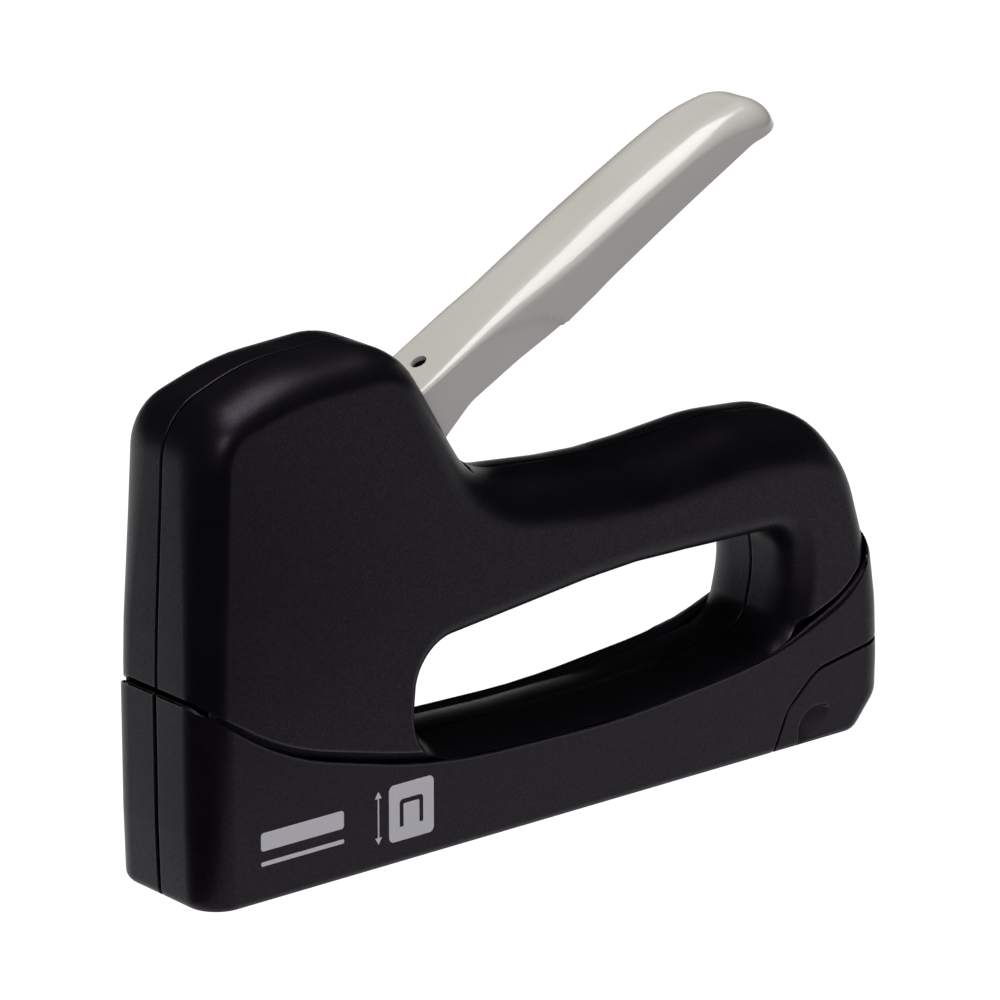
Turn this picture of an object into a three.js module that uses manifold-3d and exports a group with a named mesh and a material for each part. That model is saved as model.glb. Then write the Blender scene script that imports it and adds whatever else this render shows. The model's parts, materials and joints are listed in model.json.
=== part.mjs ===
// Hand-squeezed staple gun, modelled in millimetres. X runs along the length with the nose at -X,
// Y across the width, Z up from the base.
import * as THREE from "three";
import { mergeVertices } from "three/addons/utils/BufferGeometryUtils.js";
import Module from "manifold-3d";

const wasm = await Module();
wasm.setup();

// Overall
const NOSE_X = -80.75;
const TAIL_X = 80.75;
const COVER_HALF_WIDTH = 14.4;
const BODY_HALF_WIDTH = 13.6;
const CAVITY_HALF_WIDTH = 10.3;
const SKIRT_HALF_WIDTH = 12.1;
const WALL = 2.6;
const COVER_WALL = 2;
const SEAM_GAP = 0.15;
const CLEARANCE = 0.3;
const GROOVE = 0.45;
const SKIRT_BOTTOM = 9;
const SKIRT_LAP = 2;
const HOLLOW_INSET = 0.6;
const LONGEST_STRETCH = 12;
const FAR = 200;

// Steps of the rounded edges of the body, of its hollow and of the covers
const EDGE_STEPS = 4;
const HOLLOW_STEPS = 2;
const COVER_STEPS = 2;

// Radii of the covers' corners seen from above, at the nose and at the tail
const NOSE_CORNER = 6.6;
const TAIL_CORNER = 5.5;

// Lever
const PIVOT_X = -36;
const PIVOT_Z = 72;
const LEVER_REST_DEG = 28;
const LEVER_SHEET = 1.1;
const LEVER_CROWN = 6.7;
const LEVER_SHOULDER_DEG = 40;
const LEVER_TIP_U = 106;
const LEVER_TIP_CORNER = 7;
const LEVER_TIP_DROP = 3;
const LEVER_DROP_LENGTH = 16;
const LEVER_FOOT = -25;
const LEVER_HOLE_U = 19.9;
const LEVER_HOLE_R = 1.5;
const SLOT_HALF_WIDTH = 8.7;
const PIN_R = 2.5;
const PIN_HALF_LENGTH = 10.9;

// Striking mechanism
const TONGUE_REACH = 25.6;
const TONGUE_REST_RAD = 0.2;
const TONGUE_TIP_R = 1.5;
const TONGUE_HALF_WIDTH = 2.4;
const PLUNGER_X = -69;
const PLUNGER_HALF_LENGTH = 5.4;
const PLUNGER_HALF_WIDTH = 6.2;
const PLUNGER_BOTTOM = 34.5;
const PLUNGER_TOP = 71;
const SPRING_CAP_BOTTOM = 82.2;
const SPRING_CAP_HALF_WIDTH = 8.4;
const SPRING_R = 3.3;
const SPRING_WIRE_R = 0.65;
const BUFFER_HALF_WIDTH = 8.5;
const BUFFER_HEIGHT = 12;
const GUIDE_FRONT = -74.4;
const GUIDE_BACK = -58;
const GUIDE_TOP = 81.2;
const GUIDE_HALF_WIDTH = 7.4;
const BLADE_X = -75.5;
const BLADE_THICKNESS = 0.7;

// Magazine
const CHANNEL_HALF_WIDTH = 6.9;
const CHANNEL_FLOOR = 1;
const CHANNEL_TOP = 12.5;
const CHANNEL_FRONT = -74.5;
const CHANNEL_BACK = 51.6;
const SHEET = 0.8;
const RAIL_FRONT = -74.4;
const RAIL_BACK = 77.6;
const RAIL_PIN_X = 74;
const RAIL_HALF_WIDTH = 4.6;
const RAIL_BOTTOM = 3.6;
const RAIL_TOP = 10.6;
const ROD_Z = 6.4;
const ROD_R = 1.2;
const ROD_FRONT = -73.8;
const ROD_BACK = 70.2;
const FOLLOWER_FRONT = -74.2;
const FOLLOWER_BACK = -62;
const FOLLOWER_HALF_WIDTH = 5.8;
const FOLLOWER_SPRING_R = 2.2;
const FOLLOWER_WIRE_R = 0.3;

// Screws, each [x, z]: the first row joins the two shells, the second the two lower covers
const HOUSING_SCREWS = [
  [-50, 86],
  [-46, 36],
  [4, 53.5],
  [68, 43],
];
const COVER_SCREWS = [
  [-50, 17],
  [66, 21.5],
];
const SCREW_R = 1.4;
const BOSS_R = 3;

// Outlines are lists of [x, z, corner radius], anticlockwise, in the plane of the seam. Those of the
// body and of the covers also say how their edge is rounded there: [.., inset, depth].
const BODY_OUTLINE = [
  [-80.4, -6, 0, 5.5, 6],
  [79.6, -6, 0, 5.5, 6.5],
  [79.6, 20, 40, 5.5, 6.5],
  [77.8, 37.5, 40, 5.5, 6.5],
  [74.5, 52, 25, 6.1, 10.8],
  [66.2, 62.9, 16, 9.7, 11.1],
  [47, 64.8, 40, 10, 12.8],
  [19.8, 62.4, 120, 10, 12.8],
  [-13.6, 65.2, 20, 9, 12],
  [-34.2, 95.4, 15, 5.7, 8.7],
  [-60, 94.6, 40, 6.1, 10.4],
  [-77.9, 87.9, 12, 5, 9.2],
  [-80.3, 45, 150, 5.5, 6],
];
const OPENING_OUTLINE = [
  [-31.5, 18.5, 9, 3, 6],
  [2, 17.8, 150, 4, 10],
  [30, 18.5, 150, 4, 10],
  [56.4, 22.3, 6.5, 4.5, 9.5],
  [58.8, 32, 25, 5, 9],
  [57.6, 42.4, 8, 4.5, 6],
  [20, 44.4, 150, 4, 3],
  [-31.2, 39, 8.5, 3, 2.5],
];
// Everything below the line where the lower covers meet the body
const BELOW_GROOVE = [
  [-95, -20, 0],
  [95, -20, 0],
  [95, 52, 0],
  [76.9, 52, 0],
  [76.7, 39, 4],
  [75, 33.4, 10],
  [70, 28, 40],
  [50, 20.4, 100],
  [14, 16.5, 120],
  [-28, 18, 120],
  [-62, 26.6, 60],
  [-79.6, 37.8, 20],
  [-95, 52.1, 0],
];
// Side outline of the covers and the end cap together, above which the groove cuts them
const BAND_OUTLINE = [
  [-80.4, 0, 2, 1.6, 1.6],
  [75.2, 0, 2, 1.6, 1.6],
  [80.6, 6.4, 4, 1.6, 1.6],
  [TAIL_X, 14, 30, 1.6, 1.6],
  [80.2, 25, 30, 1.6, 1.6],
  [78.7, 34.8, 6, 1.6, 1.6],
  [75.6, 42, 0, 1.6, 1.6],
  [70, 80, 0, 1.6, 1.6],
  [NOSE_X, 80, 0, 1.6, 1.6],
  [NOSE_X, 14, 30, 1.6, 1.6],
];
// Line where the magazine's end cap leaves the covers
const CAP_LINE = [
  [52.6, -6, 0],
  [90, -6, 0],
  [90, 19.2, 0],
  [62.8, 14.4, 8],
  [55.6, 8, 10],
  [52.6, 1, 2],
];
const CAP_DENT = { x: 63, z: 2.6, r: 4.8, depth: 1 };
// The lever in its own frame: u along the crown from the pivot, v square to it
const LEVER_OUTLINE = [
  [-6.5, -5.6, 5],
  [6, -8.2, 5],
  [14.5, -4.3, 8],
  [22, -2.3, 10],
  [34, -2.3, 30],
  [45, -2.9, 30],
  [58, -1.7, 40],
  [80, -0.8, 60],
  [97, -0.3, 10],
  [107, -2.4, 0],
  [112, 20, 0],
  [2, 20, 0],
  [2, LEVER_CROWN, 0],
  [-6.5, 2.6, 4],
];
// Its sections: [u, half width of the crown's flat, radius from there to the shoulder, height of the
// crown, radius of the shoulder]
const LEVER_SECTIONS = [
  [-30, 5.8, 2, LEVER_CROWN, 2],
  [-8, 5.8, 2, LEVER_CROWN, 2],
  [20, 5.8, 2, LEVER_CROWN, 2],
  [33, 4.8, 3.5, 7.3, 2],
  [40, 4, 4.8, 7.5, 2],
  [47, 3.4, 6.6, 7.8, 2],
  [54, 3, 7.8, 8, 2],
  [61, 2.8, 8.1, 8.3, 2],
  [72, 3.1, 7.6, 8.25, 2],
  [83, 3.5, 7.1, 8, 2],
  [90, 3.7, 6.4, 7.7, 3],
  [94.5, 3.7, 5.9, 7.4, 4],
  [LEVER_TIP_U - LEVER_TIP_CORNER, 3.6, 5.4, 7.1, 5.2],
];
const SLOT_OUTLINE = [
  [-46, 60, 0],
  [-20, 63, 6],
  [-12.6, 70.2, 3],
  [-10, 80, 0],
  [-8, 95.6, 0],
  [-46, 75.4, 0],
];

const finish = {
  body: [0x211f26, 0.5, 0],
  cover: [0x1d1b22, 0.48, 0],
  lever: [0xb4b0a8, 0.28, 0.3],
  steel: [0x9a9da1, 0.35, 1],
  darkSteel: [0x55575c, 0.45, 1],
  rubber: [0x1a1a1a, 0.85, 0],
};

// Corner points of an outline. Each corner is drawn as an arc in steps of at most `step` degrees,
// of its radius or of the largest that fits in half of its shorter edge.
function rounded(outline, step = 18) {
  const points = [];
  outline.forEach(([x, z, r, inset, depth], i) => {
    const corner = new THREE.Vector2(x, z);
    const [ax, az] = outline.at(i - 1);
    const [bx, bz] = outline[(i + 1) % outline.length];
    const before = new THREE.Vector2(ax, az).sub(corner);
    const after = new THREE.Vector2(bx, bz).sub(corner);
    const room = 0.49 * Math.min(before.length(), after.length());
    before.normalize();
    after.normalize();
    const halfAngle = Math.acos(THREE.MathUtils.clamp(before.dot(after), -1, 1)) / 2;
    const tangent = Math.min(room, r / Math.tan(halfAngle));
    const radius = tangent * Math.tan(halfAngle);
    if (radius < 0.2) {
      points.push(Object.assign(corner, { inset, depth }));
      return;
    }
    const turn = Math.PI - 2 * halfAngle;
    const middle = before.clone().add(after).normalize();
    const centre = corner.clone().addScaledVector(middle, radius / Math.sin(halfAngle));
    const start = corner.clone().addScaledVector(before, tangent).sub(centre);
    const way = Math.sign(start.cross(corner.clone().sub(centre)));
    const count = Math.max(1, Math.ceil(turn / THREE.MathUtils.degToRad(step)));
    for (let k = 0; k <= count; k += 1) {
      const spot = start.clone().rotateAround(new THREE.Vector2(), (way * turn * k) / count);
      points.push(Object.assign(spot.add(centre), { inset, depth }));
    }
  });
  return points;
}

// An outline moved outwards by d (inwards when negative), its corners kept round.
function offset(outline, d) {
  const edge = (i) => {
    const [ax, az] = outline[i];
    const [bx, bz] = outline[(i + 1) % outline.length];
    const along = new THREE.Vector2(bx - ax, bz - az).normalize();
    return { along, out: new THREE.Vector2(along.y, -along.x) };
  };
  return outline.map(([x, z, r, ...rest], i) => {
    const a = edge((i + outline.length - 1) % outline.length);
    const b = edge(i);
    const k = d / (1 + a.out.dot(b.out));
    const convex = a.along.cross(b.along) > 0;
    const radius = r ? Math.max(0.4, r + (convex ? d : -d)) : 0;
    return [x + k * (a.out.x + b.out.x), z + k * (a.out.y + b.out.y), radius, ...rest];
  });
}

function solid(geometry) {
  const bare = geometry.clone();
  bare.deleteAttribute("normal");
  bare.deleteAttribute("uv");
  const merged = mergeVertices(bare, 1e-4);
  return new wasm.Manifold(
    new wasm.Mesh({
      numProp: 3,
      vertProperties: merged.attributes.position.array,
      triVerts: new Uint32Array(merged.index.array),
    }),
  );
}

const union = (...parts) => parts.reduce((whole, part) => whole.add(part));
const cut = (whole, ...tools) => tools.reduce((left, tool) => left.subtract(tool), whole);

// A side outline carried across the width from y0 to y1.
function across(points, y0, y1) {
  const g = new THREE.ExtrudeGeometry(new THREE.Shape(points), {
    depth: y1 - y0,
    bevelEnabled: false,
  });
  return solid(g.rotateX(Math.PI / 2).translate(0, y1, 0));
}

// The same, both ways from the middle plane.
const slab = (points, halfWidth) => across(points, -halfWidth, halfWidth);

// The points of a loop that has the solid on its left, with a normal at each, and extra points on
// long stretches so that the rounding changes gently.
function edged(points) {
  const spread = points.flatMap((p, i) => {
    const next = points[(i + 1) % points.length];
    const pieces = Math.ceil(p.distanceTo(next) / LONGEST_STRETCH);
    return Array.from({ length: pieces }, (_, k) => {
      const t = k / pieces;
      return {
        at: p.clone().lerp(next, t),
        inset: THREE.MathUtils.lerp(p.inset, next.inset, t),
        depth: THREE.MathUtils.lerp(p.depth, next.depth, t),
      };
    });
  });
  return spread.map((p, i) => {
    const a = p.at.clone().sub(spread.at(i - 1).at).normalize();
    const b = spread[(i + 1) % spread.length].at.clone().sub(p.at).normalize();
    const along = a.clone().add(b).multiplyScalar(1 / (1 + a.dot(b)));
    return { ...p, out: new THREE.Vector2(along.y, -along.x) };
  });
}

// An outline with a hole, carried across the width, each stretch of its edges rounded as it says.
function roundedSlab(outline, hole, halfWidth, steps) {
  const loops = hole ? [edged(outline), edged(hole.toReversed())] : [edged(outline)];
  const half = Array.from({ length: steps + 1 }, (_, k) => (k / steps) * (Math.PI / 2));
  const levels = [...half.toReversed().map((a) => [a, -1]), ...half.map((a) => [a, 1])];
  const ring = (loop, [angle, side]) =>
    loop.map(({ at, out, inset, depth }) => {
      const spot = at.clone().addScaledVector(out, -inset * (1 - Math.cos(angle)));
      return [spot.x, side * (halfWidth - depth * (1 - Math.sin(angle))), spot.y];
    });
  const positions = [];
  const index = [];
  const firsts = loops.map((loop) =>
    levels.map((level) => {
      const first = positions.length / 3;
      positions.push(...ring(loop, level).flat());
      return first;
    }),
  );
  loops.forEach((loop, which) => {
    for (let l = 0; l + 1 < levels.length; l += 1) {
      const [low, high] = [firsts[which][l], firsts[which][l + 1]];
      loop.forEach((_, i) => {
        const j = (i + 1) % loop.length;
        index.push(low + i, high + i, high + j, low + i, high + j, low + j);
      });
    }
  });
  for (const level of [0, levels.length - 1]) {
    const faces = loops.map((loop) => ring(loop, levels[level]).map(([x, , z]) => new THREE.Vector2(x, z)));
    const ids = loops.flatMap((loop, which) => loop.map((_, i) => firsts[which][level] + i));
    const caps = THREE.ShapeUtils.triangulateShape(faces[0], faces.slice(1));
    caps.forEach((cap) => {
      const ends = cap.map((i) => ids[i]);
      index.push(...(level ? ends.toReversed() : ends));
    });
  }
  const g = new THREE.BufferGeometry();
  g.setAttribute("position", new THREE.Float32BufferAttribute(positions, 3));
  g.setIndex(index);
  return solid(g);
}

// A plan outline carried up from z0 to z1.
function upright(points, z0, z1) {
  const g = new THREE.ExtrudeGeometry(new THREE.Shape(points), {
    depth: z1 - z0,
    bevelEnabled: false,
  });
  return solid(g.translate(0, 0, z0));
}

function box(x0, x1, y0, y1, z0, z1) {
  const g = new THREE.BoxGeometry(x1 - x0, y1 - y0, z1 - z0);
  return solid(g.translate((x0 + x1) / 2, (y0 + y1) / 2, (z0 + z1) / 2));
}

const centredBox = (x0, x1, halfWidth, z0, z1) => box(x0, x1, -halfWidth, halfWidth, z0, z1);

// A round bar along Y.
function crossBar(x, z, r, y0, y1, sides = 20) {
  const g = new THREE.CylinderGeometry(r, r, y1 - y0, sides);
  return solid(g.translate(x, (y0 + y1) / 2, z));
}

// A round bar along X at the height of the follower's rod.
function lengthBar(x0, x1, r) {
  const g = new THREE.CylinderGeometry(r, r, x1 - x0, 12);
  return solid(g.rotateZ(Math.PI / 2).translate((x0 + x1) / 2, 0, ROD_Z));
}

// A plan rectangle with corners of radius r0 at its x0 end and r1 at its x1 end.
function planRectangle(x0, x1, halfWidth, r0, r1) {
  const corners = [
    [x0, -halfWidth, r0],
    [x1, -halfWidth, r1],
    [x1, halfWidth, r1],
    [x0, halfWidth, r0],
  ];
  return rounded(corners, 15);
}

// A helical compression spring round an axis that starts at `from`.
function coil(from, axis, length, radius, wire, turns) {
  const along = axis.clone().normalize();
  const side = new THREE.Vector3(axis.y ? 1 : 0, axis.y ? 0 : 1, 0);
  const up = along.clone().cross(side);
  class Helix extends THREE.Curve {
    getPoint(t) {
      const a = t * turns * 2 * Math.PI;
      return from
        .clone()
        .addScaledVector(along, t * length)
        .addScaledVector(side, radius * Math.cos(a))
        .addScaledVector(up, radius * Math.sin(a));
    }
  }
  const section = new THREE.Shape();
  section.absarc(0, 0, wire, 0, 2 * Math.PI);
  const g = new THREE.ExtrudeGeometry(section, {
    steps: Math.round(turns * 10),
    curveSegments: 3,
    extrudePath: new Helix(),
    bevelEnabled: false,
  });
  const made = solid(g);
  return made.volume() < 0 ? solid(flipped(g)) : made;
}

// The same geometry with its faces turned round.
function flipped(geometry) {
  const g = mergeVertices(geometry);
  const index = g.index.array;
  for (let i = 0; i < index.length; i += 3) {
    [index[i + 1], index[i + 2]] = [index[i + 2], index[i + 1]];
  }
  return g;
}

const group = new THREE.Group();
group.name = "staple_gun";

function geometryOf(manifold) {
  const { vertProperties, triVerts } = manifold.getMesh();
  const g = new THREE.BufferGeometry();
  g.setAttribute("position", new THREE.BufferAttribute(new Float32Array(vertProperties), 3));
  g.setIndex(new THREE.BufferAttribute(new Uint32Array(triVerts), 1));
  return g;
}

function addNode(name, manifold, [color, roughness, metalness]) {
  const geometry = geometryOf(manifold);
  geometry.computeVertexNormals();
  const mesh = new THREE.Mesh(geometry, new THREE.MeshStandardMaterial({ color, roughness, metalness }));
  mesh.name = name;
  group.add(mesh);
}

// The half of a solid on one side of the seam: side is -1 for -Y, 1 for +Y.
function half(whole, side) {
  const [near, far] = [SEAM_GAP, FAR];
  const keep = side < 0 ? [-far, -near] : [near, far];
  return whole.intersect(box(-FAR, FAR, keep[0], keep[1], -FAR, FAR));
}

// Body shells
const belowGroove = (gap) => slab(rounded(offset(BELOW_GROOVE, gap), 12), FAR);
const capRegion = (gap) => slab(rounded(offset(CAP_LINE, gap)), FAR);

const openingPoints = rounded(OPENING_OUTLINE, 24);
const bodyBlock = roundedSlab(rounded(BODY_OUTLINE), openingPoints, BODY_HALF_WIDTH, EDGE_STEPS);
const upperBody = cut(bodyBlock, belowGroove(GROOVE));
const skirt = cut(
  slab(rounded(offset(BODY_OUTLINE, -(COVER_WALL + CLEARANCE))), SKIRT_HALF_WIDTH),
  box(-FAR, FAR, -FAR, FAR, 50, FAR),
  box(-FAR, FAR, -FAR, FAR, -FAR, SKIRT_BOTTOM),
)
  .intersect(belowGroove(SKIRT_LAP))
  .intersect(bodyBlock);
// The hollow follows the rounded edges, so that the wall doesn't thin out there.
const hollowOutline = offset(BODY_OUTLINE, -WALL).map(([x, z, r, inset, depth]) => [
  x,
  z,
  r,
  inset * HOLLOW_INSET,
  Math.max(1, depth - WALL),
]);
const cavity = cut(
  roundedSlab(rounded(hollowOutline), null, CAVITY_HALF_WIDTH, HOLLOW_STEPS),
  slab(rounded(offset(OPENING_OUTLINE, WALL), 24), FAR),
);
const slot = slab(rounded(SLOT_OUTLINE), SLOT_HALF_WIDTH);

for (const [side, name] of [
  [-1, "body_shell_left"],
  [1, "body_shell_right"],
]) {
  const span = (a, b) => (side < 0 ? [-b, -a] : [a, b]);
  const boss = ([x, z], r, a, b, sides) => crossBar(x, z, r, ...span(a, b), sides);
  const screws = [...HOUSING_SCREWS, ...COVER_SCREWS];
  let shell = cut(union(upperBody, skirt), cavity, slot);
  for (const spot of screws) {
    shell = shell.add(boss(spot, BOSS_R, 0, CAVITY_HALF_WIDTH + 0.5, 16));
  }
  shell = shell.add(boss([PIVOT_X, PIVOT_Z], 5, SLOT_HALF_WIDTH - 0.2, CAVITY_HALF_WIDTH + 0.5, 20));
  shell = shell.subtract(boss([PIVOT_X, PIVOT_Z], PIN_R + 0.15, 0, PIN_HALF_LENGTH + 0.2, 20));
  for (const spot of screws) {
    const through = side > 0 || COVER_SCREWS.includes(spot);
    shell = shell.subtract(boss(spot, SCREW_R + 0.2, 0, through ? FAR : 9.6, 12));
  }
  if (side > 0) {
    for (const spot of HOUSING_SCREWS) {
      shell = shell.subtract(boss(spot, 3.3, 11.3, FAR, 20));
    }
  }
  shell = cut(half(shell, side), capRegion(CLEARANCE * 2));
  addNode(name, shell, finish.body);
}

// Lower covers
const plan = planRectangle(NOSE_X, TAIL_X, COVER_HALF_WIDTH, NOSE_CORNER, TAIL_CORNER);
const band = roundedSlab(rounded(BAND_OUTLINE), null, COVER_HALF_WIDTH, COVER_STEPS).intersect(
  upright(plan, -FAR, FAR),
);
const coverBlock = band.intersect(belowGroove(-GROOVE));
const coverHollow = cut(
  slab(rounded(offset(BODY_OUTLINE, -COVER_WALL)), SKIRT_HALF_WIDTH + CLEARANCE),
  box(-FAR, FAR, -FAR, FAR, -FAR, COVER_WALL),
);
const channelBay = centredBox(NOSE_X + COVER_WALL + 0.35, 60, CHANNEL_HALF_WIDTH + 0.4, -FAR, 12);

for (const [side, name] of [
  [-1, "lower_cover_left"],
  [1, "lower_cover_right"],
]) {
  let cover = cut(coverBlock, coverHollow, channelBay, capRegion(CLEARANCE));
  for (const [x, z] of COVER_SCREWS) {
    const ends = side > 0 ? [10, FAR] : [-13.6, -10];
    cover = cover.subtract(crossBar(x, z, SCREW_R + 0.2, ends[0], ends[1], 12));
    if (side > 0) {
      cover = cover.subtract(crossBar(x, z, 2.9, 13.1, FAR, 20));
    }
  }
  addNode(name, half(cover, side), finish.cover);
}

// Magazine end cap, with a finger dent on each side and a hub that holds the rail
const capInside = cut(
  slab(rounded(offset(CAP_LINE, -COVER_WALL)), SKIRT_HALF_WIDTH),
  box(-FAR, FAR, -FAR, FAR, -FAR, COVER_WALL),
  box(TAIL_X - COVER_WALL - 0.4, FAR, -FAR, FAR, -FAR, FAR),
);
const capMouth = centredBox(50, 64, CHANNEL_HALF_WIDTH + 0.4, -FAR, CHANNEL_TOP + 0.5);
const capHub = centredBox(69, TAIL_X - 1, RAIL_HALF_WIDTH - SHEET - CLEARANCE, 1, 9.4).intersect(band);
let endCap = band.intersect(slab(rounded(CAP_LINE), FAR));
endCap = union(cut(endCap, capInside, capMouth), capHub);
for (const side of [-1, 1]) {
  const face = side * COVER_HALF_WIDTH;
  const ends = [face - CAP_DENT.depth, face + CAP_DENT.depth];
  endCap = endCap.subtract(crossBar(CAP_DENT.x, CAP_DENT.z, CAP_DENT.r, ends[0], ends[1], 32));
}
const rivetHole = crossBar(RAIL_PIN_X, ROD_Z, ROD_R + 0.2, -5, 5, 12);
const rodSocket = lengthBar(ROD_BACK - 1.7, ROD_BACK + 1.3, ROD_R + 0.2);
addNode("magazine_end_cap", cut(endCap, rivetHole, rodSocket), finish.cover);
addNode("end_cap_rivet", crossBar(RAIL_PIN_X, ROD_Z, ROD_R, -4.9, 4.9, 12), finish.steel);

// Lever: a pressed channel, its pivot pin, the tongue that lifts the plunger and a return spring
const restAngle = THREE.MathUtils.degToRad(LEVER_REST_DEG);
const atRest = (g) => g.rotateY(-restAngle).translate(PIVOT_X, 0, PIVOT_Z);
const placed = (manifold) => solid(atRest(geometryOf(manifold)));

// What LEVER_SECTIONS says at u, between its rows.
function leverSection(u) {
  const rows = LEVER_SECTIONS;
  const next = Math.max(1, rows.findIndex((row) => row[0] >= u));
  const [low, high] = [rows[next - 1], rows[next]];
  const t = (u - low[0]) / (high[0] - low[0]);
  return [1, 2, 3, 4].map((k) => THREE.MathUtils.lerp(low[k], high[k], t));
}

// The near half of the lever's section at u, from the foot to the crown, as [distance from the middle
// plane, v], moved inwards by a sheet's thickness.
function halfSection(u, thickness) {
  const [flat, radius, crown, tight] = leverSection(u);
  const bend = THREE.MathUtils.degToRad(LEVER_SHOULDER_DEG);
  const shoulderY = flat + (radius - tight) * Math.sin(bend);
  const shoulderV = crown - radius + (radius - tight) * Math.cos(bend);
  const arc = (y, v, r, a) => [y + (r - thickness) * Math.sin(a), v + (r - thickness) * Math.cos(a)];
  const shoulder = [1, 0.5, 0].map((t) =>
    arc(shoulderY, shoulderV, tight, THREE.MathUtils.lerp(bend, Math.PI / 2, t)),
  );
  const crownArc = [0.66, 0.33, 0].map((t) => arc(flat, crown - radius, radius, bend * t));
  return [[shoulder[0][0], LEVER_FOOT - thickness], ...shoulder, ...crownArc];
}

// Columns of points [u, distance from the middle plane, v] from the base of the lever round its tip.
function leverColumns(thickness) {
  const start = LEVER_TIP_U - LEVER_TIP_CORNER;
  const [widest] = halfSection(start, 0)[0];
  const turns = [0, 0.25, 0.5, 0.75, 1].map((t) => (t * Math.PI) / 2);
  const straight = LEVER_SECTIONS.slice(0, -1).map(([u]) =>
    halfSection(u, thickness).map(([y, v]) => [u, y, v]),
  );
  const round = turns.map((a) =>
    halfSection(start, thickness).map(([y, v]) => {
      const r = LEVER_TIP_CORNER - (widest - y);
      return [start + r * Math.sin(a), widest - LEVER_TIP_CORNER + r * Math.cos(a), v];
    }),
  );
  return [...straight, ...round].map((column) =>
    column.map(([u, y, v]) => {
      const t = Math.max(0, 1 - (LEVER_TIP_U - u) / LEVER_DROP_LENGTH);
      return [u, y, v - LEVER_TIP_DROP * t * t];
    }),
  );
}

// The solid between columns of points and their mirror images.
function mirrored(columns) {
  const rows = columns[0].length;
  const last = columns.length - 1;
  const positions = [-1, 1].flatMap((side) => columns.flat().flatMap(([u, y, v]) => [u, side * y, v]));
  const near = (c, r) => c * rows + r;
  const far = (c, r) => (columns.length + c) * rows + r;
  const index = [];
  const quad = (a, b, c, d) => index.push(a, b, c, a, c, d);
  for (let c = 0; c < last; c += 1) {
    for (let r = 0; r + 1 < rows; r += 1) {
      quad(near(c, r), near(c + 1, r), near(c + 1, r + 1), near(c, r + 1));
      quad(far(c, r), far(c, r + 1), far(c + 1, r + 1), far(c + 1, r));
    }
    quad(near(c, rows - 1), near(c + 1, rows - 1), far(c + 1, rows - 1), far(c, rows - 1));
    quad(near(c, 0), far(c, 0), far(c + 1, 0), near(c + 1, 0));
  }
  for (let r = 0; r + 1 < rows; r += 1) {
    quad(near(0, r), near(0, r + 1), far(0, r + 1), far(0, r));
    quad(near(last, r), far(last, r), far(last, r + 1), near(last, r + 1));
  }
  const g = new THREE.BufferGeometry();
  g.setAttribute("position", new THREE.Float32BufferAttribute(positions, 3));
  g.setIndex(index);
  return solid(g);
}

const leverSkin = mirrored(leverColumns(0)).intersect(slab(rounded(LEVER_OUTLINE, 20), FAR));
const leverInside = mirrored(leverColumns(LEVER_SHEET));
const leverHole = solid(
  new THREE.CylinderGeometry(LEVER_HOLE_R, LEVER_HOLE_R, 6, 20)
    .rotateX(Math.PI / 2)
    .translate(LEVER_HOLE_U, 0, LEVER_CROWN),
);
const lever = cut(leverSkin, leverInside, leverHole, crossBar(0, 0, PIN_R + 0.2, -FAR, FAR, 20));
addNode("lever", placed(lever), finish.lever);
addNode(
  "lever_pivot_pin",
  crossBar(PIVOT_X, PIVOT_Z, PIN_R, -PIN_HALF_LENGTH, PIN_HALF_LENGTH, 20),
  finish.steel,
);

const tipX = -TONGUE_REACH * Math.cos(TONGUE_REST_RAD);
const tipZ = -TONGUE_REACH * Math.sin(TONGUE_REST_RAD);
const tongueOutline = [
  [4.8 - TONGUE_REACH, 0.4, 2],
  [2.2 - TONGUE_REACH, -0.6, 1],
  [1.2 - TONGUE_REACH, TONGUE_TIP_R, 1.2],
  [-TONGUE_TIP_R - TONGUE_REACH, TONGUE_TIP_R, 1.2],
  [-TONGUE_TIP_R - TONGUE_REACH, -2.6, 1.4],
  [-12, -6, 6],
  [-4, -6.2, 5],
  [5.6, -5, 4],
  [5.4, 4, 3.5],
  [-5, 4, 4],
].reverse();
const tongue = cut(
  slab(rounded(tongueOutline, 24), TONGUE_HALF_WIDTH),
  crossBar(0, 0, PIN_R + 0.2, -FAR, FAR, 20),
);
const tongueGeometry = geometryOf(tongue).rotateY(-TONGUE_REST_RAD).translate(PIVOT_X, 0, PIVOT_Z);
addNode("lifting_tongue", solid(tongueGeometry), finish.darkSteel);

const hub = new THREE.Vector3(PIVOT_X, 3.1, PIVOT_Z);
addNode("lever_return_spring", coil(hub, new THREE.Vector3(0, 1, 0), 3.2, 3.6, 0.45, 2), finish.steel);

// Plunger, driver blade, drive spring and what guides them
const lugBottom = PIVOT_Z + tipZ + TONGUE_TIP_R + CLEARANCE;
const plunger = union(
  cut(
    centredBox(
      PLUNGER_X - PLUNGER_HALF_LENGTH,
      PLUNGER_X + PLUNGER_HALF_LENGTH,
      PLUNGER_HALF_WIDTH,
      PLUNGER_BOTTOM,
      PLUNGER_TOP,
    ),
    centredBox(PLUNGER_X - 4.4, PLUNGER_X + 4.4, 5, PLUNGER_BOTTOM + 1.5, FAR),
  ),
  centredBox(PLUNGER_X + 5, PIVOT_X + tipX + 1.4, 3.4, lugBottom, PLUNGER_TOP),
);
addNode("plunger", plunger, finish.darkSteel);
const blade = union(
  centredBox(BLADE_X, BLADE_X + BLADE_THICKNESS, 5.7, 1.2, 46),
  centredBox(BLADE_X, BLADE_X + BLADE_THICKNESS, 3.2, 45, 60),
);
addNode("driver_blade", blade, finish.steel);
const up = new THREE.Vector3(0, 0, 1);
const springFoot = PLUNGER_BOTTOM + 1.5 + CLEARANCE + SPRING_WIRE_R;
const springLength = SPRING_CAP_BOTTOM - CLEARANCE - SPRING_WIRE_R - springFoot;
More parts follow.
